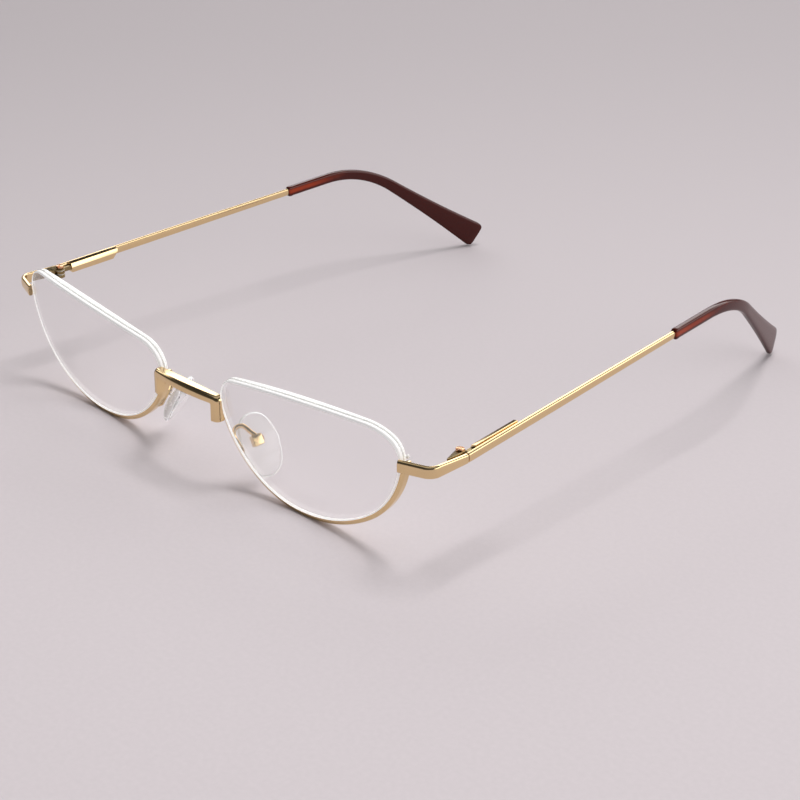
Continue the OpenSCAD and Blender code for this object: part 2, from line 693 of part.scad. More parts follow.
module pad_box() {
  on_pad() difference() {
    box_block();
    // Open towards the pad and at the bottom, closed behind and above
    translate([box_n - 1.35, box_w - tongue_t / 2 - 0.06, box_l - 2.25]) cube([2.2, tongue_t + 0.12, 3]);
    translate([box_n, box_w, box_l]) rotate([90, 0, 0]) cylinder(r = 0.3, h = 4, center = true, $fn = 48);
  }
}
module pad_screw() {
  on_pad() translate([box_n, box_w + box_side / 2, box_l]) rotate([90, 0, 0]) difference() {
    union() {
      cylinder(r = 0.3, h = box_side, $fn = 48);
      translate([0, 0, -0.4]) cylinder(r = 0.55, h = 0.4, $fn = 48);
    }
    translate([0, 0, -0.4]) cube([2, 0.2, 0.3], center = true);
  }
}
// Places in the lens frame and in the pad frame, seen from the whole part
function about_x(p, a) = [p[0], p[1] * cos(a) - p[2] * sin(a), p[1] * sin(a) + p[2] * cos(a)];
function about_y(p, a) = [p[0] * cos(a) + p[2] * sin(a), p[1], p[2] * cos(a) - p[0] * sin(a)];
function about_z(p, a) = [p[0] * cos(a) - p[1] * sin(a), p[0] * sin(a) + p[1] * cos(a), p[2]];
function from_lens(p) = [lens_x, 0, lens_z] + about_z(about_x(p, lens_tilt), lens_wrap);
function from_pad(p) = [pad_x, pad_y, pad_z] + about_z(about_y(about_x(p, pad_lean), -pad_splay), -pad_front);
// Gooseneck arm: from the back of the rim up and over to the box
arm_root_a = 225;
root_p = edge_at(arm_root_a, rim_t / 2);
arm_root = from_lens([root_p[0], sag(root_p, rim_in + rim_d), root_p[1]]);
arm_ctl = [arm_root - [0, 0.3, 0], arm_root + [-0.3, 0.75, 0.15], arm_root + [-1.32, 0.62, 1.43],
  arm_root + [-2.43, 0.41, 2.86], from_pad([1.72, box_w - 2.87, box_l + 3.89]), from_pad([2.45, box_w - 1.46, box_l + 3.73]),
  from_pad([3.02, box_w - 0.58, box_l + 2.09]), from_pad([box_n + 0.3, box_w, box_l + 1]),
  from_pad([box_n + 0.3, box_w, box_l + 0.6])];
echo(arm_root = arm_root, box = from_pad([box_n + 0.1, box_w, box_l]));
function knot(i) = arm_ctl[max(0, min(len(arm_ctl) - 1, i))];
function smooth(i, f) = let(a = knot(i - 1), b = knot(i), c = knot(i + 1), d = knot(i + 2))
  0.5 * ((2 * b) + (c - a) * f + (2 * a - 5 * b + 4 * c - d) * f * f + (3 * b - a - 3 * c + d) * f * f * f);
arm_pts = concat([for (i = [0:len(arm_ctl) - 2]) for (k = [0:3]) smooth(i, k / 4)], [knot(len(arm_ctl) - 1)]);
module pad_arm() {
  difference() {
    wire(arm_pts, arm_d / 2, 12, unit([0.3, 1, 0.1]));
    rim_room();
    lens_room();
    on_pad() box_block();
  }
}

color(gold) bridge();
color(gold) both(1) rim();  // rim_l
color(gold) both(-1) rim();  // rim_r
color(clear, 0.5) both(1) lens();  // lens_l
color(clear, 0.5) both(-1) lens();  // lens_r
color(clear) both(1) rim_liner();  // rim_liner_l
color(clear) both(-1) rim_liner();  // rim_liner_r
color(clear) both(1) lens_cord();  // lens_cord_l
color(clear) both(-1) lens_cord();  // lens_cord_r
color(gold) both(1) end_piece();  // end_piece_l
color(gold) both(-1) end_piece();  // end_piece_r
color(gold) both(1) front_hinge();  // front_hinge_l
color(gold) both(-1) front_hinge();  // front_hinge_r
color(gold) both(1) hinge_screw();  // hinge_screw_l
color(gold) both(-1) hinge_screw();  // hinge_screw_r
color(clear) both(1) hinge_washer();  // hinge_washer_l
color(clear) both(-1) hinge_washer();  // hinge_washer_r
color(gold) both(1) hinge_link();  // hinge_link_l
color(gold) both(-1) hinge_link();  // hinge_link_r
color(gold) both(1) spring_keeper();  // spring_keeper_l
color(gold) both(-1) spring_keeper();  // spring_keeper_r
color(gold) both(1) coil_spring();  // coil_spring_l
color(gold) both(-1) coil_spring();  // coil_spring_r
color(gold) both(1) spring_housing();  // spring_housing_l
color(gold) both(-1) spring_housing();  // spring_housing_r
color(gold) both(1) temple_bar();  // temple_bar_l
color(gold) both(-1) temple_bar();  // temple_bar_r
color(horn) both(1) temple_tip();  // temple_tip_l
color(horn) both(-1) temple_tip();  // temple_tip_r
color(gold) both(1) pad_arm();  // pad_arm_l
color(gold) both(-1) pad_arm();  // pad_arm_r
color(gold) both(1) pad_box();  // pad_box_l
color(gold) both(-1) pad_box();  // pad_box_r
color(gold) both(1) pad_screw();  // pad_screw_l
color(gold) both(-1) pad_screw();  // pad_screw_r
color(clear) both(1) nose_pad();  // nose_pad_l
color(clear) both(-1) nose_pad();  // nose_pad_r
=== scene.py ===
"""Half-rim reading glasses, standing open on a pale table.

Pieces are drawn in millimetres for the wearer's left side, in the lens frame of the solid model
(-Y is the front, the middle of the lens edge is at Y = 0), then scaled to metres and mirrored.
"""

from functools import cache
from math import asin, atan2, ceil, cos, degrees, pi, radians, sin, sqrt
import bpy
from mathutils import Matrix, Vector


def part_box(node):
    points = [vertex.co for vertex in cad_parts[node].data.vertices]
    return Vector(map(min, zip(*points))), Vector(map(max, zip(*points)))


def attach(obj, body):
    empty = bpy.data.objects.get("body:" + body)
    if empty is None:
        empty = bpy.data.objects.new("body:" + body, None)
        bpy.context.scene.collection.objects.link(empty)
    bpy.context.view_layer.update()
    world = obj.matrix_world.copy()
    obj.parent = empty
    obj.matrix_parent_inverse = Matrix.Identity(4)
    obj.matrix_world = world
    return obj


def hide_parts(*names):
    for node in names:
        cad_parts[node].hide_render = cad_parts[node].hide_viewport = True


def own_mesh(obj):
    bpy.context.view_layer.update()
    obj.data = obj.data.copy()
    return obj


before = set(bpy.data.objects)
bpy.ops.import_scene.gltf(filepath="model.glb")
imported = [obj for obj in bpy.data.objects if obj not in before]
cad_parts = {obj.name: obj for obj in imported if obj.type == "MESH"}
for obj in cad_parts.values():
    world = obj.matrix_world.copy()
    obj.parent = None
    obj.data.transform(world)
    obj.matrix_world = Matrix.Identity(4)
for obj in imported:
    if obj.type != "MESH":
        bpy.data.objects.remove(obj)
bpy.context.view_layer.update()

from types import SimpleNamespace

import bpy
from bpy.props import FloatProperty, FloatVectorProperty, PointerProperty
from mathutils import Matrix, Vector

bl_info = {
    "name": "Half-rim reading glasses",
    "version": (1, 0, 0),
    "blender": (4, 5, 0),
    "location": "3D View > Sidebar > Glasses",
    "description": "Builds a pair of half-rim reading glasses piece by piece",
    "category": "Add Mesh",
}

MM = 0.001
X, Y, Z = Vector((1, 0, 0)), Vector((0, 1, 0)), Vector((0, 0, 1))


# Sizes and colours

def linear(code):
    """Linear values of an sRGB hex colour."""
    parts = [int(code[i:i + 2], 16) / 255 for i in (1, 3, 5)]
    return tuple(p / 12.92 if p <= 0.04045 else ((p + 0.055) / 1.055) ** 2.4 for p in parts)


def length(title, words, value):
    """A length, given in millimetres."""
    return FloatProperty(
        name=title, description=words, default=value * MM, unit="LENGTH", precision=5)


def angle(title, words, value):
    """An angle, given in degrees."""
    return FloatProperty(
        name=title, description=words, default=radians(value), subtype="ANGLE")


def number(title, words, value):
    return FloatProperty(name=title, description=words, default=value)


def colour(title, words, code):
    """A colour, given as sRGB hex."""
    return FloatVectorProperty(
        name=title, description=words, default=linear(code), subtype="COLOR", size=3, min=0, max=1)


class LensSizes(bpy.types.PropertyGroup):
    width: length("Width", "Lens width across its widest part", 50.6)
    across: length("Centre", "Lens centre, sideways from the middle", 35.2)
    up: length("Centre height", "Lens centre above the table", 14.4053)
    front_curve: length("Front curve", "Radius of the front surface", 96)
    back_curve: length("Back curve", "Radius of the back surface", 118)
    thick: length("Thickness", "Thickness at the centre", 2.75)
    r_shoulder: length("Shoulder radius", "Outer part of the top edge", 11.9)
    r_nose: length("Nose corner radius", "Upper corner beside the nose", 6.8)
    r_bottom: length("Bottom radius", "Bottom edge", 33)
    r_low: length("Lower outer radius", "Lower outer edge", 20.4)
    r_corner: length("Outer corner radius", "Upper outer corner", 5.6)
    tilt: angle("Tilt", "Lean of the lens, top edge forward", 7.7)
    wrap: angle("Wrap", "Wrap of each lens round the face", 3.2)
    groove_w: length("Groove width", "Groove in the lens edge", 0.56)
    groove_d: length("Groove depth", "Groove in the lens edge", 0.42)
    cord: length("Cord diameter", "Nylon cord over the top edge", 0.5)
    ground: length("Edge chamfer", "Chamfer ground on both rims of the edge", 0.3)


class RimSizes(bpy.types.PropertyGroup):
    thick: length("Thickness", "Rim wall outside the lens edge", 0.95)
    depth: length("Depth", "Rim depth, front to back", 1.7)
    inset: length("Set back", "Rim front, behind the lens front", 0.3)
    end_nose: length("Nose end", "Height of the nose end above the lens centre", 3.2)
    end_outer: length("Outer end", "Height of the outer end above the lens centre", 6.4)
    edge: length("Edge radius", "Rounding of the rim's edges", 0.2)


class BridgeSizes(bpy.types.PropertyGroup):
    top: length("Top", "Height of the bridge's top at its ends", 19.3)
    rise: length("Rise", "Rise of the top in the middle", 0.5)
    high: length("Height", "Height of the bar at its ends", 1.55)
    arch: length("Arch", "Arch of the underside", 0.15)
    half: length("Half width", "Half the distance over the tabs", 10.7)
    tab: length("Tab width", "Width of each tab", 1.9)
    low: length("Tab end", "Height of the tabs' lower ends", 13.7)
    front: length("Front", "Front face at the tabs", 0.1)
    bow: length("Front bow", "Bow of the front face", 1.3)
    back_bow: length("Back bow", "Bow of the back face, forward too", 0.55)
    depth: length("Depth", "Depth at the ends", 1.9)
    corner: length("Corner radius", "Outer corner between bar and tab", 1.3)
    edge: length("Edge radius", "Rounding of the upper front edge", 0.95)
    back_edge: length("Back edge radius", "Rounding of the upper back edge", 0.2)
    under: length("Lower edge radius", "Rounding of the lower edges", 0.22)


class EndPieceSizes(bpy.types.PropertyGroup):
    x0: length("Start", "Sideways start of the band", 60.4)
    y0: length("Start depth", "Front face at the start", 3.098)
    x1: length("Side", "Outer side face", 67.6)
    sweep: angle("Sweep", "Sweep of the front part", 19.5)
    bend: length("Bend radius", "Outside radius of the bend", 3)
    high0: length("Height", "Height of the band at its start", 2.65)
    high1: length("Height at hinge", "Height of the band at the hinge", 2)
    thick: length("Thickness", "Thickness of the band", 1.1)
    edge: length("Edge radius", "Rounding of the edges at the hinge", 0.2)
    front_edge: length("Front edge radius", "Rounding of the upper edge at the rim", 0.55)
    side_edge: length("Side edge radius", "Rounding of the upper outer edge at the hinge", 0.35)
    crown: length("Crown", "Crown of the broad faces", 0.22)


class HingeSizes(bpy.types.PropertyGroup):
    pin_x: length("Pin across", "Hinge pin, sideways", 65.2)
    pin_y: length("Pin depth", "Hinge pin, behind the lens edge", 15.4)
    pin_z: length("Pin height", "Middle height of the hinge", 21.2)
    stack: length("Half stack", "Half the height of the hinge eyes", 1.32)
    screw: length("Screw diameter", "Hinge screw", 1.2)
    head: length("Head diameter", "Head of the hinge screw", 1.75)
    eye: length("Eye radius", "Outside radius of the hinge eyes", 1.1)
    eye_h: length("Eye height", "Height of each front eye", 0.75)
    house_y: length("Housing start", "Spring housing, from the pin", 3.2)
    house_l: length("Housing length", "Spring housing", 13)
    house_t: length("Housing thickness", "Spring housing", 1.4)
    house_h: length("Housing height", "Spring housing", 2.4)
    top_slope: angle("Top slope", "Inward slope of the tops of hinge and housing", 13)
    coil_d: length("Coil diameter", "Middle diameter of the spring's coils", 0.78)
    coil_wire: length("Coil wire", "Wire of the coil spring", 0.16)
    coil_y0: length("Coil start", "Front end of the coil spring, from the pin", 7)
    coil_y1: length("Coil end", "Rear end of the coil spring, from the pin", 12.2)
    coil_play: length("Coil play", "How much the housing's full slide shortens the spring", 0.55)
    house_lean: length("Housing slope", "How far the inner face falls back at its top", 0.42)


class TempleSizes(bpy.types.PropertyGroup):
    inner: length("Inner face", "Inner face of the bar, from the pin", 1.25)
    thick0: length("Thickness at hinge", "Bar thickness at the hinge", 1.1)
    high0: length("Height at hinge", "Bar height at the hinge", 2)
    thick1: length("Thickness at tip", "Bar thickness at the sleeve", 0.95)
    high1: length("Height at tip", "Bar height at the sleeve", 1.7)
    bar: length("Bar length", "From the pin to the sleeve", 68.6)
    turn_in: angle("Inward run", "Inward run of the bar", 3.9)
    pitch: angle("Pitch", "Lift of the bar towards the ear", 3.40628)
    straight: length("Sleeve straight", "Straight length of the sleeve", 12.8)
    ear_r: length("Ear radius", "Radius of the ear bend", 30)
    ear_turn: angle("Ear turn", "Turn of the ear bend", 41)
    lean: angle("Lean", "Lean of the bend plane inwards", 19)
    drop: length("Drop", "Length of the sleeve after the bend", 31)
    sleeve_h: length("Sleeve height", "Sleeve height where it starts", 2.45)
    sleeve_t: length("Sleeve thickness", "Sleeve thickness", 1.6)
    paddle: length("Flare", "Height of the flared end", 7)
    edge: length("Edge radius", "Rounding of the bar's edges", 0.2)
    top_edge: length("Top edge radius", "Rounding of the bar's upper outer edge", 0.35)
    crown: length("Crown", "Crown of the bar's broad faces", 0.28)


class PadSizes(bpy.types.PropertyGroup):
    across: length("Across", "Pad centre, sideways", 14.6)
    back: length("Depth", "Pad centre, behind the lens edge", 9.7)
    up: length("Height", "Pad centre height", 7.6)
    long: length("Length", "Pad length", 13.6)
    wide: length("Width", "Pad width", 8)
    thick: length("Thickness", "Pad thickness at its middle", 2.6)
    curve: length("Face curve", "Radius of both faces", 24)
    splay: angle("Splay", "Splay of the pad", 28.5)
    front: angle("Front angle", "Turn of the pad towards the nose", 21)
    lean: angle("Lean", "Fore and aft lean", 12)
    arm: length("Arm wire", "Diameter of the arm wire", 0.95)


class Finishes(bpy.types.PropertyGroup):
    gold: colour("Gold", "Pale gold plate of the frame", "#e8cb9b")
    # Hinge gold: the plate's colour darkened with painted shade
    hinge: colour("Hinge gold", "Darker plate inside the hinge", "#94805a")
    screw: colour("Screws", "Rose gold of the screw heads", "#dfae86")
    steel: colour("Spring steel", "Coil spring and keeper", "#b8b6b2")
    tip: colour("Tip sleeve", "Sleeve over its core wire", "#9c3510")
    tip_side: colour("Tip beside the wire", "Sleeve beside its core wire", "#4c1204")
    tip_end: colour("Tip end", "Thick part of the sleeve", "#420a02")
    lens: colour("Lens", "Tint of the lens", "#fefefe")
    table: colour("Table", "Paper on the table", "#d4cbce")
    gloss: number("Metal roughness", "Roughness of the polished plate", 0.1)


class StageSizes(bpy.types.PropertyGroup):
    eye: FloatVectorProperty(
        name="Eye", description="Where the camera stands, in the lens frame",
        default=(0.29963, -0.2315, 0.19397), subtype="TRANSLATION", size=3)
    azimuth: angle("Azimuth", "Camera direction round the glasses", 45.364)
    elevation: angle("Elevation", "Camera height angle", 25.462)
    roll: angle("Roll", "Camera roll", 0.606)
    focal: number("Focal length", "Focal length on a 36 mm sensor", 89.44)
    shift_x: number("Shift across", "Sideways shift of the picture", -0.0040)
    shift_y: number("Shift up", "Upward shift of the picture", 0.0052)


GROUPS = {
    "lens": LensSizes, "rim": RimSizes, "bridge": BridgeSizes, "end": EndPieceSizes,
    "hinge": HingeSizes, "temple": TempleSizes, "pad": PadSizes, "finish": Finishes,
    "stage": StageSizes,
}


def sizes(name):
    """One group's values, its lengths in millimetres and its angles in degrees."""
    group = getattr(bpy.context.scene, "glasses_" + name)
    values = {}
    for prop in group.bl_rna.properties:
        value = getattr(group, prop.identifier)
        if prop.type == "FLOAT" and not prop.is_array:
            if prop.unit == "LENGTH":
                value = value / MM
            elif prop.subtype == "ANGLE":
                value = degrees(value)
        values[prop.identifier] = value
    return SimpleNamespace(**values)


# Places

def turned(z=0, y=0, x=0):
    """A turn about X, then Y, then Z, in degrees."""
    about_z, about_y, about_x = (
        Matrix.Rotation(radians(turn), 4, axis) for turn, axis in ((z, "Z"), (y, "Y"), (x, "X")))
    return about_z @ about_y @ about_x


def moved(x, y, z):
    return Matrix.Translation((x, y, z))


def lens_place():
    lens = sizes("lens")
    return moved(lens.across, 0, lens.up) @ turned(z=lens.wrap, x=lens.tilt)


def pin_place():
    hinge = sizes("hinge")
    return moved(hinge.pin_x, hinge.pin_y, hinge.pin_z)


def temple_place():
    temple = sizes("temple")
    return pin_place() @ turned(z=temple.turn_in, x=temple.pitch)


def pad_place():
    pad = sizes("pad")
    turn = turned(z=-pad.front, y=-pad.splay, x=pad.lean)
    return moved(pad.across, pad.back, pad.up) @ turn


def row_shift():
    """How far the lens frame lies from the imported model's frame, in millimetres."""
    low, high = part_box("hinge_screw_l")
    return (low[1] + high[1]) / 2 / MM - sizes("hinge").pin_y


def whole(side):
    """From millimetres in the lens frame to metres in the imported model's frame."""
    mirror = Matrix.Scale(-1, 4, X) if side == "r" else Matrix.Identity(4)
    return Matrix.Scale(MM, 4) @ mirror @ moved(0, row_shift(), 0)


# The lens outline

# Angles of the outward normal, in degrees, where each of its arcs begins, and where the last ends
TURN = (59, 85.2, 105.2, 202, 264, 304, 352.9, 419)
ARCS = len(TURN) - 1


def ray(a):
    """The direction at an angle in degrees."""
    return Vector((cos(radians(a)), sin(radians(a))))


@cache
def outline():
    """Radii and centres of the arcs round the lens, each tangent to the next."""
    lens = sizes("lens")
    leaps = [Vector((cos(radians(b)) - cos(radians(a)), sin(radians(b)) - sin(radians(a))))
             for a, b in zip(TURN, TURN[1:])]
    # The two open radii, of the top and the nose side, are those that close the outline
    radii = [lens.r_shoulder, 0, lens.r_nose, 0, lens.r_bottom, lens.r_low, lens.r_corner]
    gap = sum((r * leap for r, leap in zip(radii, leaps)), Vector((0, 0)))
    det = leaps[1].x * leaps[3].y - leaps[1].y * leaps[3].x
    radii[1] = (-gap.x * leaps[3].y + gap.y * leaps[3].x) / det
    radii[3] = (-leaps[1].x * gap.y + leaps[1].y * gap.x) / det
    centres, at = [], Vector((0, 0))
    for r, leap, a in zip(radii, leaps, TURN):
        centres.append(at - r * ray(a))
        at = at + r * leap
    left, right = centres[2].x - radii[2], centres[6].x + radii[6]
    top, bottom = centres[1].y + radii[1], centres[4].y - radii[4]
    middle = Vector(((left + right) / 2, (top + bottom) / 2))
    grow = lens.width / (right - left)
    return [r * grow for r in radii], [(c - middle) * grow for c in centres]


def arc_at(a):
    """Number of the arc on which the outward normal has the angle a."""
    a = (a - TURN[0]) % 360 + TURN[0]
    return max(i for i in range(ARCS) if a >= TURN[i] - 1e-9)


def edge_at(a, off=0.0):
    """The point of the lens edge whose outward normal has the angle a, moved out by off."""
    radii, centres = outline()
    arc = arc_at(a)
    return centres[arc] + (radii[arc] + off) * ray(a)


def edge_angles(first, last, step):
    """Normal angles from first to last, about step millimetres apart along the edge."""
    radii = outline()[0]
    seams = {t + k for t in TURN for k in (-360, 0, 360)}
    stops = sorted({first, last} | {t for t in seams if first < t < last})
    found = []
    for a, b in zip(stops, stops[1:]):
        count = max(2, ceil(radii[arc_at((a + b) / 2)] * radians(b - a) / step))
        found += [a + (b - a) * k / count for k in range(count)]
    return found + [last]


@cache
def front_curve():
    return sizes("lens").front_curve


def sag(p, depth=0.0):
    """Depth of the lens front at p, or of the surface that lies depth behind it."""
    curve = front_curve()
    return curve - sqrt((curve - depth) ** 2 - p.x ** 2 - p.y ** 2)


def on_lens(p, depth=0.0):
    """The outline's point p on the lens front, or on the surface that lies depth behind it."""
    return Vector((p.x, sag(p, depth), p.y))


# Making meshes

# The least distance between two points of a mesh, and how far a guard point lies from its corner
SEAM, GUARD = 0.001, 0.03


def deselect():
    bpy.ops.object.select_all(action="DESELECT")


def pick(piece):
    """Make a piece the active one, and the only one selected."""
    deselect()
    piece.select_set(True)
    bpy.context.view_layer.objects.active = piece


def edit(piece):
    """Open a piece in edit mode with all its faces selected."""
    pick(piece)
    bpy.ops.object.mode_set(mode="EDIT")
    bpy.ops.mesh.select_mode(type="FACE")
    bpy.ops.mesh.select_all(action="SELECT")


def select_faces(piece, test):
    """Select the faces whose middle and normal pass a test, in edit mode."""
    bpy.ops.object.mode_set(mode="OBJECT")
    for face in piece.data.polygons:
        face.select = test(face.center, face.normal)
    bpy.ops.object.mode_set(mode="EDIT")


def slice_off(piece, at, normal):
    """Cut off what lies beyond a plane, and close the cut."""
    edit(piece)
    bpy.ops.mesh.bisect(plane_co=at, plane_no=normal, use_fill=True, clear_outer=True)
    bpy.ops.object.mode_set(mode="OBJECT")


def smooth(piece, sharp=32):
    pick(piece)
    bpy.ops.object.shade_smooth_by_angle(angle=radians(sharp))


def loft(rings, band=None, sharp=32):
    """A closed skin over a row of rings: a grid whose rows are laid along them.
    A band, from its first ring to its last one, gets the piece's second material."""
    deselect()
    around = len(rings[0])
    bpy.ops.mesh.primitive_grid_add(x_subdivisions=around, y_subdivisions=len(rings) - 1, size=1)
    piece = bpy.context.object
    laid = [p for ring in rings for p in (*ring, ring[0])]
    piece.data.vertices.foreach_set("co", [c for p in laid for c in p])
    if band:
        first, last = band
        for face in piece.data.polygons[first * around:last * around]:
            face.material_index = 1
    edit(piece)
    bpy.ops.mesh.remove_doubles(threshold=SEAM)
    bpy.ops.mesh.fill_holes(sides=0)
    bpy.ops.mesh.select_all(action="SELECT")
    bpy.ops.mesh.normals_make_consistent(inside=False)
    bpy.ops.object.mode_set(mode="OBJECT")
    smooth(piece, sharp)
    return piece


def rounded(half_u, half_v, radii, steps=4, guard=GUARD, crown=0.0):
    """A rectangle with rounded corners. A guard point beside each corner keeps its sides flat.
    A crown bows the two sides that face along u.
    The radii are those of the corners +u+v, -u+v, -u-v and +u-v."""
    points = []
    for k, (su, sv) in enumerate(((1, 1), (-1, 1), (-1, -1), (1, -1))):
        e = radii[k]
        cu, cv = su * (half_u - e), sv * (half_v - e)
        turns = [radians(90 * (k + j / steps)) for j in range(steps + 1)]
        arc = [(cu + e * cos(t), cv + e * sin(t)) for t in turns]
        t = turns[0]
        points.append((arc[0][0] + guard * sin(t), arc[0][1] - guard * cos(t)))
        points += arc
        t = turns[-1]
        points.append((arc[-1][0] - guard * sin(t), arc[-1][1] + guard * cos(t)))
        if crown and k in (1, 3):
            flat = half_v - max(e, radii[(k + 1) % 4]) - 2 * guard
            points += [(su * half_u, sv * flat * f / 4) for f in range(3, -4, -1)]
    return [(u - (crown if u > 0 else -crown) * (v / half_v) ** 2, v) for u, v in points]


def with_round_ends(stations, r):
    """Stations of a bar, each (place, u, v, half_u, half_v, edges), and extra ones
    that round both its ends by r."""
    def end(near, far):
        d = (far[0] - near[0]).normalized()
        o, u, v, half_u, half_v, edges = near
        extra = [(o, u, v, half_u - r - GUARD, half_v - r - GUARD, edges)]
        for k in range(5):
            t, shrink = r * (1 - cos(pi * k / 8)), r * (1 - sin(pi * k / 8))
            extra.append((o + d * t, u, v, half_u - shrink, half_v - shrink, edges))
        extra.append((o + d * (r + GUARD), u, v, half_u, half_v, edges))
        return extra
    first, last = end(stations[0], stations[1]), end(stations[-1], stations[-2])
    return first + stations[1:-1] + last[::-1]


def bar(stations, end, crown):
    """A bar of rounded rectangular section along its stations."""
    rings = []
    for o, u, v, half_u, half_v, edges in with_round_ends(stations, end):
        radii = [min(r, half_u * 0.96, half_v * 0.96) for r in edges]
        guard = min(GUARD, half_u - max(radii), half_v - max(radii))
        section = rounded(half_u, half_v, radii, 6, guard, min(crown, half_u / 3))
        rings.append([o + u * a + v * b for a, b in section])
    return loft(rings)


def wire(points, r, around, reference, ends=True):
    """Round wire along a list of points, with domed ends."""
    rings, last = [], len(points) - 1
    for i, p in enumerate(points):
        d = (points[min(i + 1, last)] - points[max(i - 1, 0)]).normalized()
        a = d.cross(reference).normalized()
        b = a.cross(d)
        dome = [(0.0, 1.0)]
        if i in (0, last) and ends:
            dome = [(sin(pi * k / 8), cos(pi * k / 8)) for k in range(5)]
        if i == 0:
            dome = [(-t, f) for t, f in dome[::-1]]
        turns = [2 * pi * j / around for j in range(around)]
        for t, f in dome:
            rings.append([p + d * r * t + (a * cos(turn) + b * sin(turn)) * r * f
                          for turn in turns])
    return loft(rings, sharp=60)


def block(low, high):
    """A plain block between two corners, a start for a piece or a cutter."""
    deselect()
    middle = [(a + b) / 2 for a, b in zip(low, high)]
    bpy.ops.mesh.primitive_cube_add(size=1, location=middle)
    piece = bpy.context.object
    piece.scale = [b - a for a, b in zip(low, high)]
    bpy.ops.object.transform_apply()
    return piece


def rod(middle, r, depth, axis="Z", vertices=64):
    """A plain rod, a start for a piece or a cutter."""
    deselect()
    spin = {"Y": (-pi / 2, 0, 0), "Z": (0, 0, 0)}[axis]
    bpy.ops.mesh.primitive_cylinder_add(
        vertices=vertices, radius=r, depth=depth, location=middle, rotation=spin)
    bpy.ops.object.transform_apply()
    return bpy.context.object


def apply_modifier(piece, kind, **settings):
    pick(piece)
    modifier = piece.modifiers.new(kind.title(), kind)
    for key, value in settings.items():
        setattr(modifier, key, value)
    bpy.ops.object.modifier_apply(modifier=modifier.name)


def bevel(piece, width, segments, limit=30):
    apply_modifier(piece, "BEVEL", width=width, segments=segments, limit_method="ANGLE",
                   angle_limit=radians(limit))


def combine(piece, tools, operation="DIFFERENCE"):
    """Cut or add whole bodies and delete them."""
    for tool in tools:
        apply_modifier(piece, "BOOLEAN", object=tool, operation=operation, solver="EXACT")
        bpy.data.objects.remove(tool)


def join(piece, other):
    pick(piece)
    other.select_set(True)
    bpy.ops.object.join()


def copied(piece):
    """A copy of a piece, with a mesh of its own."""
    twin = piece.copy()
    twin.data = piece.data.copy()
    bpy.context.collection.objects.link(twin)
    return twin


def settle(piece, name, body, materials, node):
    """Name a finished piece, give it its finish, and hang it on its body in place of its solid."""
    piece.name = piece.data.name = name
    for material in materials:
        piece.data.materials.append(material)
    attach(piece, body)
    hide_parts(node)


def settle_pair(piece, name, body, materials, node):
    """Put a piece in its place on the left, and its mirrored copy on the right."""
    twin = copied(piece)
    twin.data.flip_normals()
    for one, side in ((piece, "l"), (twin, "r")):
        one.data.transform(whole(side))
        settle(one, f"{name}_{side}", body.format(side), materials, f"{node}_{side}")


def dress(node, material):
    """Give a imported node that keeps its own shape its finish."""
    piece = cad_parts[node]
    if not piece.material_slots:
        piece.data.materials.append(material)
    piece.material_slots[0].material = material


# Finishes

def add_node(owner, kind, sockets=None, stops=(), **settings):
    """Add a node with its settings, the stops of its ramp (place, grey) and its links."""
    node = owner.node_tree.nodes.new("ShaderNode" + kind)
    for key, value in settings.items():
        setattr(node, key, value)
    if stops:
        elements = node.color_ramp.elements
        for element, (_, grey) in zip(elements, (stops[0], stops[-1])):
            element.color = rgba((grey,) * 3)
        for at, grey in stops[1:-1]:
            elements.new(at).color = rgba((grey,) * 3)
    fill_sockets(owner, node, sockets or {})
    return node


def in_use(sockets):
    """The first of some sockets that the node's settings leave in use."""
    return next(socket for socket in sockets if not socket.is_unavailable)


def fill_sockets(owner, node, sockets):
    """Fill inputs, by name or number, with a number, a colour, an output or a node's first output.
    Where two inputs share a name, the one in use is meant."""
    for key, value in sockets.items():
        if isinstance(key, str):
            socket = in_use(s for s in node.inputs if s.name == key)
        else:
            socket = node.inputs[key]
        if isinstance(value, bpy.types.Node):
            value = in_use(value.outputs)
        if isinstance(value, bpy.types.NodeSocket):
            owner.node_tree.links.new(value, socket)
        else:
            socket.default_value = value


def start_material(name, sockets):
    material = bpy.data.materials.new(name)
    material.use_nodes = True
    shader = material.node_tree.nodes["Principled BSDF"]
    fill_sockets(material, shader, sockets)
    return material, shader


def rgba(value, k=1.0):
    return (*[min(1.0, v * k) for v in value], 1)


def own_space(material):
    return add_node(material, "TexCoord").outputs["Object"]


# Most values of a noise lie between these two
NOISE_LOW, NOISE_HIGH = 0.3, 0.7


def grained(material, shader, size, detail, low, high, height=0.0, strength=0.0, to="Roughness"):
    """Let a grain vary one of a finish's values between two others, and give it a relief.
    The size and height of the grain are in millimetres."""
    noise = add_node(material, "TexNoise", {
        "Vector": own_space(material), "Scale": 1 / (size * MM), "Detail": detail})
    value = add_node(material, "MapRange", {
        "Value": noise, "From Min": NOISE_LOW, "From Max": NOISE_HIGH,
        "To Min": low, "To Max": high})
    fill_sockets(material, shader, {to: value})
    if height:
        relief = add_node(material, "Bump", {
            "Height": noise, "Distance": height * MM, "Strength": strength})
        fill_sockets(material, shader, {"Normal": relief})
    return noise


def plated(name, tone, rough, wear):
    """Polished plate: its colour shifts a little with its thickness, under a faint haze."""
    material, shader = start_material(name, {"Metallic": 1.0})
    drift, ripple = (
        add_node(material, "TexNoise", {
            "Vector": own_space(material), "Scale": 1 / (size * MM), "Detail": 2.0})
        for size in (6.0, 0.9))
    mix = add_node(material, "Mix", {
        "Factor": drift, "A": rgba(tone), "B": rgba(tone, 0.94)}, data_type="RGBA")
    relief = add_node(material, "Bump", {
        "Height": ripple, "Distance": 0.002 * MM, "Strength": 0.1})
    fill_sockets(material, shader, {"Base Color": mix, "Normal": relief})
    grained(material, shader, size=0.5, detail=4, low=rough, high=rough + wear)
    return material


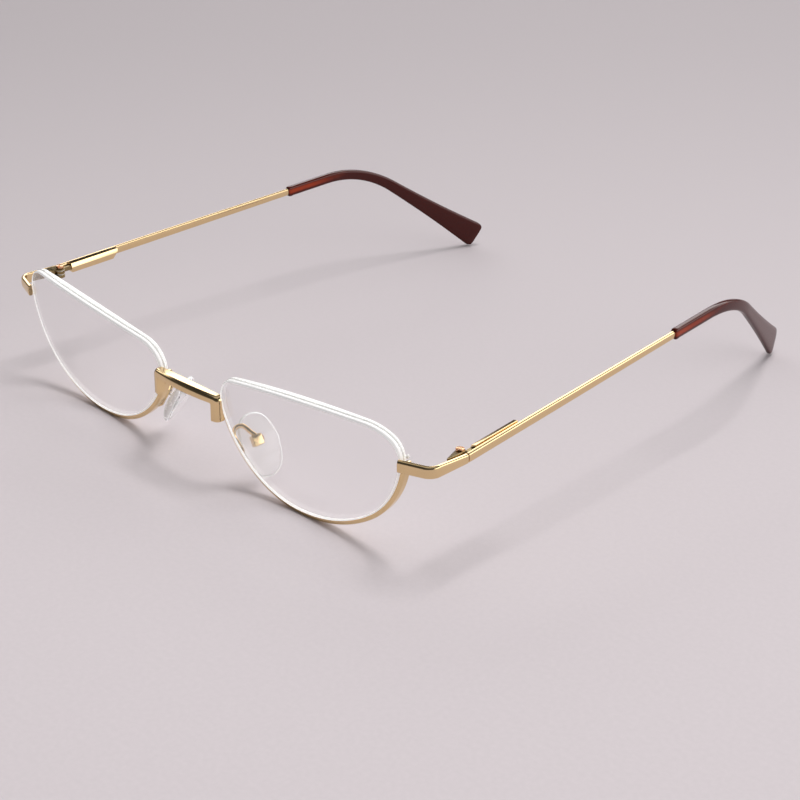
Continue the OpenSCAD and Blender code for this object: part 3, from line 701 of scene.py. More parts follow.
@cache
def gold_plate():
    """Pale gold plate on nickel silver, mirror polished: sharp, bright and warm reflections."""
    finish = sizes("finish")
    return plated("gold_plate_polished", finish.gold, rough=finish.gloss, wear=0.05)


@cache
def hinge_plate_painted_shade():
    """The same plate inside the hinge, rougher, so duller, and darkened with painted shade."""
    return plated("gold_plate_painted_shade", sizes("finish").hinge, rough=0.24, wear=0.1)


@cache
def screw_plate():
    """Rose gold plate on turned screws: fine, bright and a little redder than the frame."""
    return plated("rose_gold_turned", sizes("finish").screw, rough=0.2, wear=0.08)


@cache
def spring_steel():
    """Drawn steel wire, grey and satin."""
    return plated("steel_wire_drawn", sizes("finish").steel, rough=0.25, wear=0.1)


def let_light_through(material, shader, share):
    """Rays towards the lamps pass a clear piece, so that its shadow stays pale."""
    rays = add_node(material, "LightPath").outputs["Is Shadow Ray"]
    clear = add_node(material, "BsdfTransparent", {"Color": rgba((share,) * 3)})
    mix = add_node(material, "MixShader", {0: rays, 1: shader, 2: clear})
    fill_sockets(material, material.node_tree.nodes["Material Output"], {"Surface": mix})


@cache
def lens_resin():
    """Cast allyl resin, polished and coated: clear, with a faint clean reflection."""
    material, shader = start_material("lens_resin_polished", {
        "Base Color": rgba(sizes("finish").lens), "Roughness": 0.0, "IOR": 1.498,
        "Transmission Weight": 1.0, "Specular IOR Level": 0.2})
    grained(material, shader, size=9, detail=2, low=0, high=0.06, to="Coat Weight")
    let_light_through(material, shader, 0.97)
    return material


@cache
def lens_edge():
    """The ground edge of the resin: a fine white frosting, with a painted glow."""
    white = rgba(linear("#fffefd"))
    # A painted glow: the frosted edge gives out a little light of its own
    material, shader = start_material("lens_edge_ground_painted_glow", {
        "Base Color": white, "IOR": 1.498, "Transmission Weight": 0.0,
        "Emission Color": white, "Emission Strength": 0.16})
    grained(
        material, shader, size=0.09, detail=3, low=0.42, high=0.6, height=0.004, strength=0.25)
    glow = add_node(material, "BsdfTranslucent", {"Color": white})
    frosting = add_node(material, "MixShader", {0: 0.1, 1: shader, 2: glow})
    let_light_through(material, frosting, 0.75)
    return material


@cache
def nylon_clear():
    """Clear nylon line: glassy, a little milky."""
    material, shader = start_material("nylon_line_clear", {
        "Base Color": rgba(linear("#fbfaf8")), "IOR": 1.53, "Transmission Weight": 0.35})
    grained(material, shader, size=0.4, detail=2, low=0.08, high=0.16)
    let_light_through(material, shader, 0.8)
    return material


@cache
def pad_silicone():
    """Clear moulded silicone: soft gloss, faintly milky at its thick parts."""
    material, shader = start_material("silicone_moulded_clear", {
        "Base Color": rgba(linear("#fdfcfc")), "IOR": 1.41, "Transmission Weight": 0.84})
    grained(material, shader, size=1.2, detail=3, low=0.03, high=0.09, height=0.01, strength=0.1)
    let_light_through(material, shader, 0.88)
    return material


@cache
def pad_edge_painted_highlight():
    """The edge of the silicone, made milky white: a painted highlight round the pad's rim."""
    material, shader = start_material("silicone_edge_painted_highlight", {
        "Base Color": rgba(linear("#ffffff")), "IOR": 1.41, "Transmission Weight": 0.3})
    grained(material, shader, size=0.8, detail=3, low=0.12, high=0.3)
    let_light_through(material, shader, 0.88)
    return material


@cache
def tip_plastic():
    """Red-brown acetate, polished: its core wire glows in the thin sleeve, and the thick
    flared end is almost black."""
    finish, temple = sizes("finish"), sizes("temple")
    material, shader = start_material("acetate_red_brown", {
        "IOR": 1.48, "Specular IOR Level": 0.3})
    # The wire's light falls off from a line a little above the sleeve's middle
    where = own_space(material)
    up = turned(x=temple.pitch).to_3x3() @ Z
    line = up.dot(pin_place().translation + Vector((0, row_shift(), 0))) * MM + 0.15 * MM
    above = add_node(material, "VectorMath", {0: where, 1: up}, operation="DOT_PRODUCT")
    off = add_node(material, "Math", {0: above, 1: line}, operation="SUBTRACT")
    off = add_node(material, "Math", {0: off}, operation="ABSOLUTE")
    core = add_node(material, "MapRange", {
        "Value": off, "From Min": 0.2 * MM, "From Max": 0.8 * MM, "To Min": 1.0, "To Max": 0.0},
        interpolation_type="SMOOTHSTEP")
    sleeve = add_node(material, "Mix", {
        "Factor": core, "A": rgba(finish.tip_side), "B": rgba(finish.tip)}, data_type="RGBA")
    # The sleeve darkens along its length, with a cloudy border
    along = add_node(material, "SeparateXYZ", {"Vector": where}).outputs["Y"]
    cloud = add_node(material, "TexNoise", {"Vector": where, "Scale": 1 / (4 * MM), "Detail": 3.0})
    drift = add_node(material, "Math", {0: cloud, 1: 12 * MM, 2: along}, operation="MULTIPLY_ADD")
    share = add_node(material, "MapRange", {
        "Value": drift, "From Min": 22 * MM, "From Max": 40 * MM}, interpolation_type="SMOOTHSTEP")
    mix = add_node(material, "Mix", {
        "Factor": share, "A": sleeve, "B": rgba(finish.tip_end)}, data_type="RGBA")
    fill_sockets(material, shader, {"Base Color": mix})
    grained(material, shader, size=0.6, detail=3, low=0.05, high=0.12)
    return material


@cache
def washer_plastic():
    """White acetal washer, turned smooth."""
    material, shader = start_material("acetal_turned_white", {
        "Base Color": rgba(linear("#e9e6df")), "IOR": 1.48})
    grained(material, shader, size=0.3, detail=2, low=0.3, high=0.45)
    return material


def table_card():
    """Matte card on the table: a fine tooth, and painted shade that darkens its tone towards the
    back.
    The tooth is drawn a little coarser than that of real card, so that it shows."""
    tone = sizes("finish").table
    material, shader = start_material("table_card_matte_painted_shade", {"Specular IOR Level": 0.15})
    tooth = grained(
        material, shader, size=1.1, detail=6, low=0.7, high=0.85, height=0.05, strength=0.25)
    shade = add_node(material, "MapRange", {
        "Value": tooth, "From Min": NOISE_LOW, "From Max": NOISE_HIGH})
    near = add_node(material, "Mix", {
        "Factor": shade, "A": rgba(tone, 0.99), "B": rgba(tone, 1.03)}, data_type="RGBA")
    # Painted shade: towards the back the tone darkens to 0.72 of itself, where the light falls off
    painted_shade_depth = add_node(material, "VectorMath", {0: own_space(material), 1: BACKWARDS},
                    operation="DOT_PRODUCT")
    share = add_node(material, "MapRange", {"Value": painted_shade_depth, "From Min": -0.22, "From Max": 0.32},
                     interpolation_type="SMOOTHSTEP")
    mix = add_node(material, "Mix", {
        "Factor": share, "A": near, "B": rgba(tone, 0.72)}, data_type="RGBA")
    fill_sockets(material, shader, {"Base Color": mix})
    return material


# The lenses and what holds them

# Places of a lens's rings between its middle, 0, and its edge, 1
FACE_ROWS = (0, 0.04, 0.12, 0.25, 0.4, 0.55, 0.7, 0.84, 0.95, 0.995)


def lens_rings(grow=0.0, grooved=True):
    """Rings of a lens from the middle of its front, round its edge, to the middle of its back.
    Its edge runs from the first of the two ring numbers to the second."""
    lens, rim = sizes("lens"), sizes("rim")
    place = lens_place()
    angles = edge_angles(TURN[0], TURN[-1], step=0.6)[:-1]
    c = lens.ground
    middle = rim.inset + rim.depth / 2
    half = lens.groove_w / 2

    def front(f, off):
        return [Vector((p.x, sag(p) - grow, p.y)) for p in (edge_at(a, off) * f for a in angles)]

    def back(f, off, less=0.0):
        curve, points = lens.back_curve, [edge_at(a, off) * f for a in angles]
        depths = [lens.thick + curve - sqrt(curve ** 2 - p.x ** 2 - p.y ** 2) for p in points]
        return [Vector((p.x, depth - less + grow, p.y)) for p, depth in zip(points, depths)]

    def on_edge(off, depth):
        return [on_lens(edge_at(a, off), depth) for a in angles]

    rings = [front(f, grow - c) for f in (*FACE_ROWS, 1)]
    first = len(rings) - 1
    rings.append(on_edge(grow, c - grow))
    if grooved:
        rings += [on_edge(0, middle - half), on_edge(-lens.groove_d, middle - half),
                  on_edge(-lens.groove_d, middle + half), on_edge(0, middle + half)]
    rings += [back(1, grow, c), back(1, grow - c)]
    last = len(rings) - 1
    rings += [back(f, grow - c) for f in FACE_ROWS[::-1]]
    return [[place @ p for p in ring] for ring in rings], (first, last)


def lens_room(clear=0.07):
    """The room a lens needs, for the pieces soldered to its rim."""
    return loft(lens_rings(clear, grooved=False)[0])


def build_lenses():
    rings, edge = lens_rings()
    piece = loft(rings, edge)
    finishes = [lens_resin(), lens_edge()]
    settle_pair(piece, "lens_resin", "front", finishes, "lens")


def build_rims():
    """Open metal rims with a rounded section, cut off square at both ends."""
    rim = sizes("rim")
    half_lens = sizes("lens").width / 2
    place = lens_place()
    # The rim's clearance round the lens, and the length that is cut off afterwards
    gap, spare = 0.03, 1.2
    half = (rim.thick - gap) / 2
    section = [(gap + half + a, rim.inset + rim.depth / 2 + b)
               for a, b in rounded(half, rim.depth / 2, [rim.edge] * 4)]
    rings = []
    for a in edge_angles(160, 379, step=0.45):
        p = edge_at(a)
        along = (p.x + half_lens) / (2 * half_lens)
        if p.y < rim.end_nose + (rim.end_outer - rim.end_nose) * along + spare:
            rings.append([place @ on_lens(edge_at(a, off), depth) for off, depth in section])
    piece = loft(rings)
    nose = place @ Vector((-half_lens, 0, rim.end_nose))
    outer = place @ Vector((half_lens, 0, rim.end_outer))
    slice_off(piece, nose, (outer - nose).cross(place.to_3x3() @ Y).normalized())
    bevel(piece, 0.07, segments=2, limit=50)
    # The rims stand on small flats
    for vertex in piece.data.vertices:
        vertex.co.z = max(vertex.co.z, 0.0)
    smooth(piece)
    settle_pair(piece, "rim_band", "front", [gold_plate()], "rim")


def build_cords():
    """The nylon cord in the groove over the top of each lens. Its outer end is a small bead."""
    lens, rim, hinge = sizes("lens"), sizes("rim"), sizes("hinge")
    place = lens_place()
    outer_end, nose_end, clear = -11.7, 201, 0.03
    bead_r, bead_up, bead_off, bead_in = 0.42, 0.95, 0.3, 0.25
    off = lens.cord / 2 - lens.groove_d + clear
    points = [place @ on_lens(edge_at(a, off), rim.inset + rim.depth / 2)
              for a in edge_angles(outer_end, nose_end, step=0.5)]
    piece = wire(points, lens.cord / 2, around=14, reference=place.to_3x3() @ Y)
    level = (place.inverted() @ Vector((0, 0, hinge.pin_z + bead_up))).z
    angles = edge_angles(outer_end, 50, step=0.1)
    corner = min(angles, key=lambda a: abs(edge_at(a).y - level))
    bead = place @ on_lens(edge_at(corner, bead_off), rim.inset + rim.depth - bead_in)
    deselect()
    bpy.ops.mesh.primitive_uv_sphere_add(
        segments=24, ring_count=16, radius=bead_r, location=bead)
    bpy.ops.object.transform_apply()
    join(piece, bpy.context.object)
    smooth(piece, 60)
    settle_pair(piece, "cord_line", "front", [nylon_clear()], "lens_cord")


# Bridge and end pieces

def build_bridge():
    """One bar bowed to the front, bent down into a tab at each end."""
    b = sizes("bridge")
    fillet, end = 0.3, 0.25

    def bow(chord, rise):
        """Radius of an arc over a chord."""
        return (chord * chord / 4 + rise * rise) / (2 * rise)

    front_r, back_r, top_r = (bow(2 * b.half, rise) for rise in (b.bow, b.back_bow, b.rise))
    span = b.half - b.tab
    under_r = bow(2 * span, b.arch)
    top_c = b.top + b.rise - top_r
    kx = b.half - b.corner
    kz = top_c + sqrt((top_r - b.corner) ** 2 - kx * kx)
    lean = degrees(asin(kx / (top_r - b.corner)))
    under_c = b.top - b.high + b.arch - under_r
    ix = span - fillet
    iz = under_c + sqrt(under_r ** 2 - ix ** 2) - fillet

    def faces(x):
        """Depths of the front and the back face."""
        front = b.front - b.bow + front_r - sqrt(front_r ** 2 - x * x)
        back = b.front + b.depth - b.back_bow + back_r - sqrt(back_r ** 2 - x * x)
        return front, back

    # Pairs of points on the outer and the inner edge: the bar, its corner, and the tab
    pairs = []
    for k in range(19):
        x, xi = kx * top_r / (top_r - b.corner) * (k / 18), ix * (k / 18)
        z, zi = top_c + sqrt(top_r ** 2 - x * x), under_c + sqrt(under_r ** 2 - xi * xi)
        pairs.append((Vector((x, 0, z)), Vector((xi, 0, zi))))
    for k in range(1, 13):
        a, i = radians((90 - lean) * (1 - k / 12)), radians(90 * (1 - k / 12))
        pairs.append((Vector((kx + b.corner * cos(a), 0, kz + b.corner * sin(a))),
                      Vector((ix + fillet * cos(i), 0, iz + fillet * sin(i)))))
    for k in (0.04, 0.4, 0.8):
        pairs.append((Vector((b.half, 0, kz + (b.low - kz) * k)),
                      Vector((span, 0, iz + (b.low - iz) * k))))
    tip = Vector((b.half, 0, b.low)), Vector((span, 0, b.low))

    def ring(outer, inner, shrink=0.0):
        u = (outer - inner).normalized()
        half_u = (outer - inner).length / 2 - shrink
        middle = (outer + inner) / 2
        low, high = faces(middle.x)
        half_v = (high - low) / 2 - shrink
        points = []
        radii = [max(GUARD, r - shrink) for r in (b.back_edge, b.under, b.under, b.edge)]
        for p, q in rounded(half_u, half_v, radii, 8):
            at = middle + u * p
            near, far = faces(at.x)
            near, far = near + shrink, far - shrink
            at.y = (near + far) / 2 + q / half_v * (far - near) / 2
            points.append(at)
        return points

    half = [ring(*pair) for pair in pairs]
    for k in range(4, -1, -1):
        up = Z * end * (1 - cos(pi * k / 8))
        half.append(ring(tip[0] + up, tip[1] + up, end * (1 - sin(pi * k / 8))))
    half.append(ring(*tip, end + GUARD))
    other = [[Vector((-p.x, p.y, p.z)) for p in row] for row in half[:0:-1]]
    piece = loft(other + half)
    left = lens_room()
    right = copied(left)
    right.data.transform(Matrix.Scale(-1, 4, X))
    right.data.flip_normals()
    combine(piece, [left, right])
    smooth(piece)
    piece.data.transform(whole("l"))
    settle(piece, "bridge_bar", "front", [gold_plate()], "bridge")


def build_end_pieces():
    """A flat band from the rim's outer end, round the corner, to the hinge."""
    e, hinge = sizes("end"), sizes("hinge")
    past_pin, fuller = 0.08, 0.2
    split = hinge.pin_y + past_pin
    sweep = radians(e.sweep)
    run, out = Vector((cos(sweep), sin(sweep), 0)), Vector((sin(sweep), -cos(sweep), 0))
    rest = pi / 4 - sweep / 2
    centre = Vector((e.x1 - e.bend, e.y0 + (e.x1 - e.x0) * sin(sweep) / cos(sweep)
                     + e.bend * sin(rest) / cos(rest), hinge.pin_z))
    half = e.thick / 2
    start = (centre.x - e.x0) / run.x + e.bend * sin(sweep) / cos(sweep)
    bend_high = (e.high0 + e.high1) / 2 + fuller

    def station(o, u, f):
        """A station of the bar. From the rim, 0, to the hinge, 1, its edges get sharper."""
        high = bend_high + (e.high1 - bend_high) * (o.y - centre.y) / (split - centre.y)
        if o.y < centre.y:
            high = e.high0 + (bend_high - e.high0) * max(0, o.y) / centre.y
        upper = e.front_edge + (e.side_edge - e.front_edge) * f
        return o, u, Z, half, high / 2, (upper, e.edge, e.edge, e.edge)

    stations = [station(centre + out * (e.bend - half) - run * start * f, out, 0)
                for f in (1, 0.75, 0.5, 0.25, 0.02)]
    for k in range(17):
        a = sweep + (pi / 2 - sweep) * k / 16
        u = Vector((sin(a), -cos(a), 0))
        stations.append(station(centre + u * (e.bend - half), u, k / 16))
    for f in (0.05, 0.5, 0.9, 1):
        o = Vector((e.x1 - half, centre.y + (split - centre.y) * f, hinge.pin_z))
        stations.append(station(o, X, 1))
    piece = bar(stations, end=0.1, crown=e.crown)
    combine(piece, [lens_room()])
    smooth(piece)
    settle_pair(piece, "end_band", "front", [gold_plate()], "end_piece")


# Hinges and temples

def slotted_screw(head_r, shank_r, head_h, shank_l, slot):
    """A slotted screw whose head stands on z = 0: a disc, domed and slotted, with its shank
    drawn down."""
    piece = rod((0, 0, head_h / 2), head_r, head_h)
    edit(piece)
    select_faces(piece, lambda at, normal: normal.z > 0.9)
    bpy.ops.mesh.inset(thickness=head_r * 0.12, depth=0)
    bpy.ops.transform.translate(value=(0, 0, head_h * 0.06))
    select_faces(piece, lambda at, normal: normal.z < -0.9)
    bpy.ops.mesh.inset(thickness=head_r - shank_r, depth=0)
    bpy.ops.mesh.extrude_region_move(TRANSFORM_OT_translate={"value": (0, 0, -shank_l)})
    bpy.ops.object.mode_set(mode="OBJECT")
    bevel(piece, min(0.06, head_h * 0.15), segments=3, limit=50)
    combine(piece, [block((-2, -slot / 2, head_h * 0.55), (2, slot / 2, head_h * 2))])
    smooth(piece, 40)
    return piece


def prism(outline, low, high):
    """An upright prism over an outline."""
    return loft([[Vector((x, y, z)) for x, y in outline] for z in (low, high)], sharp=40)


def slope(hinge):
    """The normal of the sloping tops of hinge and housing."""
    return Vector((-sin(radians(hinge.top_slope)), 0, cos(radians(hinge.top_slope))))


# How deep the hinge screw's head is let into the upper eye
SUNK = 0.31


def build_hinge_leaves():
    """The two front eyes, which run out into a tapered leaf along the end piece."""
    hinge, e = sizes("hinge"), sizes("end")
    leaf, neck, taper, clear = 4.6, 1.6, 0.35, 0.03
    inner = e.x1 - e.thick - hinge.pin_x
    r, top, mid = hinge.eye, hinge.stack, hinge.stack - hinge.eye_h
    eye = [(r * cos(radians(a)), r * sin(radians(a))) for a in range(0, 205, 6)]
    flag = [(inner, -leaf), (inner, -neck), (inner - 0.12, -0.5), *eye, (inner - taper, -leaf)]
    root = [(inner, -leaf + 0.05), (inner, -neck + 0.1), (0.1, -neck + 0.1),
            (inner - taper + 0.01, -leaf + 0.05)]
    upper, lower = prism(flag, mid, top), prism(flag, -top, -mid)
    slice_off(upper, (inner, 0, top), slope(hinge))
    for slab in (upper, lower):
        bevel(slab, 0.12, segments=4, limit=40)
    combine(upper, [lower, prism(root, -mid - 0.2, mid + 0.2)], "UNION")
    combine(upper, [rod((0, 0, 0), hinge.screw / 2 + clear, 4),
                    rod((0, 0, top - SUNK + 1), hinge.head / 2 + 0.05, 2)])
    smooth(upper)
    upper.data.transform(pin_place())
    settle_pair(upper, "hinge_leaves", "front", [hinge_plate_painted_shade()], "front_hinge")


def build_hinge_screws():
    hinge = sizes("hinge")
    piece = slotted_screw(hinge.head / 2, hinge.screw / 2, head_h=0.52,
                          shank_l=2 * hinge.stack - 0.33, slot=0.24)
    piece.data.transform(pin_place() @ moved(0, 0, hinge.stack - SUNK) @ turned(z=60))
    settle_pair(piece, "screw_turned", "front", [screw_plate()], "hinge_screw")


def build_spring_housings():
    """A block with a slanted rear end along each temple, hollow for the link and its spring."""
    hinge, temple = sizes("hinge"), sizes("temple")
    nose, cut = 0.8, 1.6
    y0, y1, h = hinge.house_y, hinge.house_y + hinge.house_l, hinge.house_h / 2
    inner = temple.inner - hinge.house_t
    link_x = temple.inner - hinge.house_t / 2
    piece = block((inner, y0, -h), (temple.inner, y1, h))
    slice_off(piece, (0, y1, h - nose), Vector((0, 2 * h - nose, -cut)).normalized())
    slice_off(piece, (inner, 0, 0), Vector((-h, 0, hinge.house_lean)).normalized())
    slice_off(piece, (temple.inner - 0.15, 0, h), slope(hinge))
    bevel(piece, 0.22, segments=5, limit=10)
    # The link's slot, the hole that guides its rod, and the spring's bore
    slot_x, slot_z, slot_end = 0.45, 0.55, 6.3
    guide_r, guide_y, bore_r, bore_y, bore_l = 0.29, 7, 0.52, 10.35, 6.9
    combine(piece, [
        block((link_x - slot_x, y0 - 1, -slot_z), (link_x + slot_x, slot_end, slot_z)),
        rod((link_x, guide_y, 0), guide_r, 4, "Y", 32),
        rod((link_x, bore_y, 0), bore_r, bore_l, "Y", 48),
    ])
    smooth(piece)
    piece.data.transform(temple_place())
    settle_pair(piece, "housing_block", "temple_{}", [gold_plate()],
                "spring_housing")


def spine():
    """The line the temple follows: straight, round the ear bend, and straight on to its end."""
    t = sizes("temple")
    t.axis = t.inner + t.thick0 / 2
    t.s_bend = t.bar + t.straight
    t.arc = t.ear_r * radians(t.ear_turn)
    t.s_end = t.s_bend + t.arc + t.drop
    t.s_core = t.bar + 1.2
    down = Vector((-sin(radians(t.lean)), 0, -cos(radians(t.lean))))

    def at(s):
        """Place, up and side at the length s from the pin."""
        turn = min(max(0.0, s - t.s_bend), t.arc) / t.ear_r
        d = Y * cos(turn) + down * sin(turn)
        o = Vector((t.axis, min(s, t.s_bend), 0))
        if s > t.s_bend:
            o = o + t.ear_r * (sin(turn) * Y + (1 - cos(turn)) * down)
            o += d * max(0.0, s - t.s_bend - t.arc)
        up = (Z - d.z * d).normalized()
        return o, up, d.cross(up)

    return t, at


def build_temple_bars():
    """Flat tapered bars with their core wire, which runs on inside the sleeve."""
    t, at = spine()
    place = temple_place()
    turn = place.to_3x3()
    edges = (t.top_edge, t.edge, t.edge, t.edge)
    start, house_end, lap = 0.2, 24, 0.4
    stations = []
    for y in (start, 6, 12, 18, house_end, 34, 46, 58, t.s_core):
        g = (y - start) / (t.s_core - start)
        k = max(0, (y - house_end) / (t.s_core - house_end))
        outer = t.inner + t.thick0 + (t.axis + t.thick1 / 2 - t.inner - t.thick0) * g
        inner = t.inner + (t.axis - t.thick1 / 2 - t.inner) * k
        high = t.high0 + (t.high1 - t.high0) * k
        o = place @ Vector(((outer + inner) / 2, y, 0))
        stations.append((o, turn @ X, turn @ Z, (outer - inner) / 2, high / 2, edges))
    piece = bar(stations, end=0.1, crown=t.crown)
    core_l, core_half, core_edge = t.drop + t.arc + t.straight - 15.2, 0.42, 0.13
    core = []
    for k in range(41):
        o, up, side = at(t.s_core - lap + (core_l + lap) * k / 40)
        section = rounded(core_half, core_half, [core_edge] * 4, 2)
        core.append([place @ (o + side * a + up * b) for a, b in section])
    join(piece, loft(core))
    settle_pair(piece, "temple_flat", "temple_{}", [gold_plate()], "temple_bar")


def build_temple_tips():
    """Sleeves bent behind the ear, with a fishtail end."""
    t, at = spine()
    place = temple_place()
    around, end_round, square, mouth = 48, 2.2, 0.55, 1.4
    stops = [t.bar + v for v in (0.0, 0.06, 0.15, 0.3, 0.8, mouth)]
    stops += [t.bar + mouth + (t.straight - mouth) * k / 8 for k in range(1, 8)]
    stops += [t.s_bend + t.arc * k / 28 for k in range(29)]
    stops += [t.s_bend + t.arc + (t.drop - end_round) * k / 20 for k in range(1, 21)]
    stops += [t.s_end - end_round * (1 - k)
              for k in (0.25, 0.45, 0.62, 0.75, 0.86, 0.94, 0.985, 1)]

    def fall(x):
        """How far a quarter circle has fallen at x between 0 and 1."""
        return 1 - sqrt(max(0, 1 - x ** 2))

    def squared(value):
        """Bring a sine or cosine towards 1, which squares a circle."""
        return abs(value) ** square * (1 if value > 0 else -1)

    rings = []
    for s in stops:
        f = max(0, (s - t.s_bend - 4) / (t.s_end - t.s_bend - 4))
        high = t.sleeve_h + (t.paddle - t.sleeve_h) * f ** 2.2
        # A rounded mouth with a faint bead behind it
        near = s - t.bar
        lip = 1 - 0.18 * fall(1 - min(1, near / 0.3))
        lip *= 1 + 0.05 * max(0, 1 - abs(near - 0.7) / 0.7)
        shrink = 1.0
        if s > t.s_end - end_round:
            shrink = 1 - 0.5 * fall((s - t.s_end + end_round) / end_round)
        o, up, side = at(s)
        ring = []
        for j in range(around):
            a = 2 * pi * (j + 0.5) / around
            across = t.sleeve_t / 2 * shrink * lip * squared(cos(a))
            tall = high / 2 * (0.4 + 0.6 * shrink) * lip * squared(sin(a))
            p = place @ (o + side * across + up * tall)
            # The tips stand on small flats
            p.z = max(p.z, 0.0)
            ring.append(p)
        rings.append(ring)
    piece = loft(rings, sharp=50)
    settle_pair(piece, "tip_sleeve", "temple_{}", [tip_plastic()], "temple_tip")


# Nose pads

# Middle of the pad's box, in the pad's own frame
BOX = Vector((3, -1.1, 1.3))


def build_pad_arms():
    """Gooseneck wires from the back of each rim, up and over to the pad's box."""
    pad, rim = sizes("pad"), sizes("rim")
    on_pad = pad_place()
    root = lens_place() @ on_lens(edge_at(225, rim.thick / 2), rim.inset + rim.depth)

    def by_root(x, y, z):
        return root + Vector((x, y, z))

    def by_box(x, y, z):
        return on_pad @ Vector((x, BOX.y + y, BOX.z + z))

    foot = BOX.x + 0.3
    knots = [by_root(0, -0.3, 0), by_root(-0.3, 0.75, 0.15), by_root(-1.32, 0.62, 1.43),
             by_root(-2.43, 0.41, 2.86), by_box(1.72, -2.87, 3.89), by_box(2.45, -1.46, 3.73),
             by_box(3.02, -0.58, 2.09), by_box(foot, 0, 1), by_box(foot, 0, 0.6)]
    # A smooth curve through the knots
    points = []
    for a, b, c, d in zip(knots[:1] + knots, knots, knots[1:], knots[2:] + knots[-1:]):
        for f in (k / 10 for k in range(10)):
            points.append(0.5 * (2 * b + (c - a) * f + (2 * a - 5 * b + 4 * c - d) * f * f
                                 + (3 * b - a - 3 * c + d) * f ** 3))
    points.append(knots[-1])
    reference = Vector((0.3, 1, 0.1)).normalized()
    piece = wire(points, pad.arm / 2, around=18, reference=reference, ends=False)
    settle_pair(piece, "arm_wire", "front", [gold_plate()], "pad_arm")


def build_pad_boxes():
    """Small open boxes at the arms' ends, with their screws."""
    on_pad = pad_place()
    wall, tongue, clear = 0.54, 0.9, 0.06
    side = tongue + 2 * clear + 2 * wall
    middle = BOX + X * 0.1
    half = Vector((1.05, side / 2, 1.15))
    piece = block(middle - half, middle + half)
    bevel(piece, 0.2, segments=4)
    room = tongue / 2 + clear
    combine(piece, [
        block(BOX - Vector((1.35, room, 2.25)), BOX + Vector((0.85, room, 0.75))),
        rod(BOX, 0.3, 4, "Y", 48),
    ])
    smooth(piece)
    piece.data.transform(on_pad)
    settle_pair(piece, "box_cup", "front", [gold_plate()], "pad_box")
    screw = slotted_screw(head_r=0.55, shank_r=0.3, head_h=0.4, shank_l=side, slot=0.18)
    screw.data.transform(on_pad @ moved(*(BOX + Y * side / 2)) @ turned(x=-90))
    settle_pair(screw, "box_screw", "front", [screw_plate()], "pad_screw")


def build_nose_pads():
    """Oval clear pads, domed on both faces with a soft round edge, and the tongue that
    stands in the box."""
    pad = sizes("pad")
    half_wide, soft = pad.wide / 2, 0.75
    end_r = pad.wide * 0.42
    e = pad.long / 2 - end_r
    side_r = (e * e + half_wide ** 2 - end_r * end_r) / (pad.wide - 2 * end_r)
    joint = atan2(e, side_r - half_wide)

    def edge(a, off):
        """Width and length of the outline point whose normal has the angle a."""
        fold = abs((a + pi / 2) % pi - pi / 2)
        if fold < joint:
            sign = 1 if cos(a) > 0 else -1
            r = side_r + off
            return Vector((-sign * (side_r - half_wide) + r * cos(a), r * sin(a)))
        r = end_r + off
        return Vector((r * cos(a), (e if sin(a) > 0 else -e) + r * sin(a)))

    # The angles change from end to side arc at the joint, and all four quarters match
    angles = []
    for k in range(4):
        a0, a1 = k * pi / 2, (k + 1) * pi / 2
        cut, n0, n1 = (a1 - joint, 10, 14) if k % 2 else (a0 + joint, 14, 10)
        angles += [a0 + (cut - a0) * i / n0 for i in range(n0)]
        angles += [cut + (a1 - cut) * i / n1 for i in range(n1)]

    def face(p):
        return pad.thick / 2 - pad.curve + sqrt(pad.curve ** 2 - p.x ** 2 - p.y ** 2)

    half = []
    for f in (0, 0.08, 0.2, 0.4, 0.6, 0.8, 0.93):
        half.append([(p, face(p)) for p in (edge(a, -soft) * f for a in angles)])
    for k in range(9):
        t = pi / 2 * (1 - k / 8)
        half.append([(p, face(p) * sin(t))
                     for p in (edge(a, -soft * (1 - cos(t))) for a in angles)])
    rows = half + [[(p, -x) for p, x in row] for row in half[-2::-1]]
    # Rows 10 to 20, round the pad's rim, get the second finish, a painted highlight
    piece = loft([[Vector((x, p.x, p.y)) for p, x in row] for row in rows], (10, 20), 60)
    tongue = 0.45
    combine(piece, [
        block((0.6, BOX.y - tongue, BOX.z - tongue), (BOX.x, BOX.y + tongue, BOX.z + tongue)),
        rod(BOX, 0.7, 2 * tongue, "Y", 48),
    ], "UNION")
    combine(piece, [rod(BOX, 0.33, 4, "Y", 32)])
    smooth(piece, 50)
    piece.data.transform(pad_place())
    finishes = [pad_silicone(), pad_edge_painted_highlight()]
    settle_pair(piece, "pad_oval", "pad_{}", finishes, "nose_pad")


# Inner parts

def build_coil_springs():
    """The wire coil round each link's rod."""
    hinge, temple = sizes("hinge"), sizes("temple")
    start, end, r = hinge.coil_y0, hinge.coil_y1, hinge.coil_d / 2
    steps = 24
    last = 8 * steps
    x = temple.inner - hinge.house_t / 2
    points = []
    for k in range(last + 1):
        a = 2 * pi * k / steps
        points.append(Vector((x + r * cos(a), start + (end - start) * k / last, r * sin(a))))
    piece = wire(points, hinge.coil_wire / 2, around=10, reference=Y)
    smooth(piece)
    piece.data.transform(temple_place())
    settle_pair(piece, "coil_wire", "link_{}", [spring_steel()], "coil_spring")
    for side in "lr":
        place = whole(side) @ temple_place()
        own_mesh(bpy.data.objects[f"coil_wire_{side}"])


def dress_inner_parts():
    """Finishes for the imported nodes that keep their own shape."""
    for side in "lr":
        dress(f"rim_liner_{side}", nylon_clear())
        dress(f"hinge_link_{side}", hinge_plate_painted_shade())
        dress(f"hinge_washer_{side}", washer_plastic())
        dress(f"spring_keeper_{side}", spring_steel())


# The stage

# Directions that lights and the table's painted shade follow: away from the camera, to its right,
# and straight back
BACKWARDS, RIGHT, BEHIND = (-0.707, 0.707, 0), (0.766, 0.643, 0), (0.2, 0.98, 0)


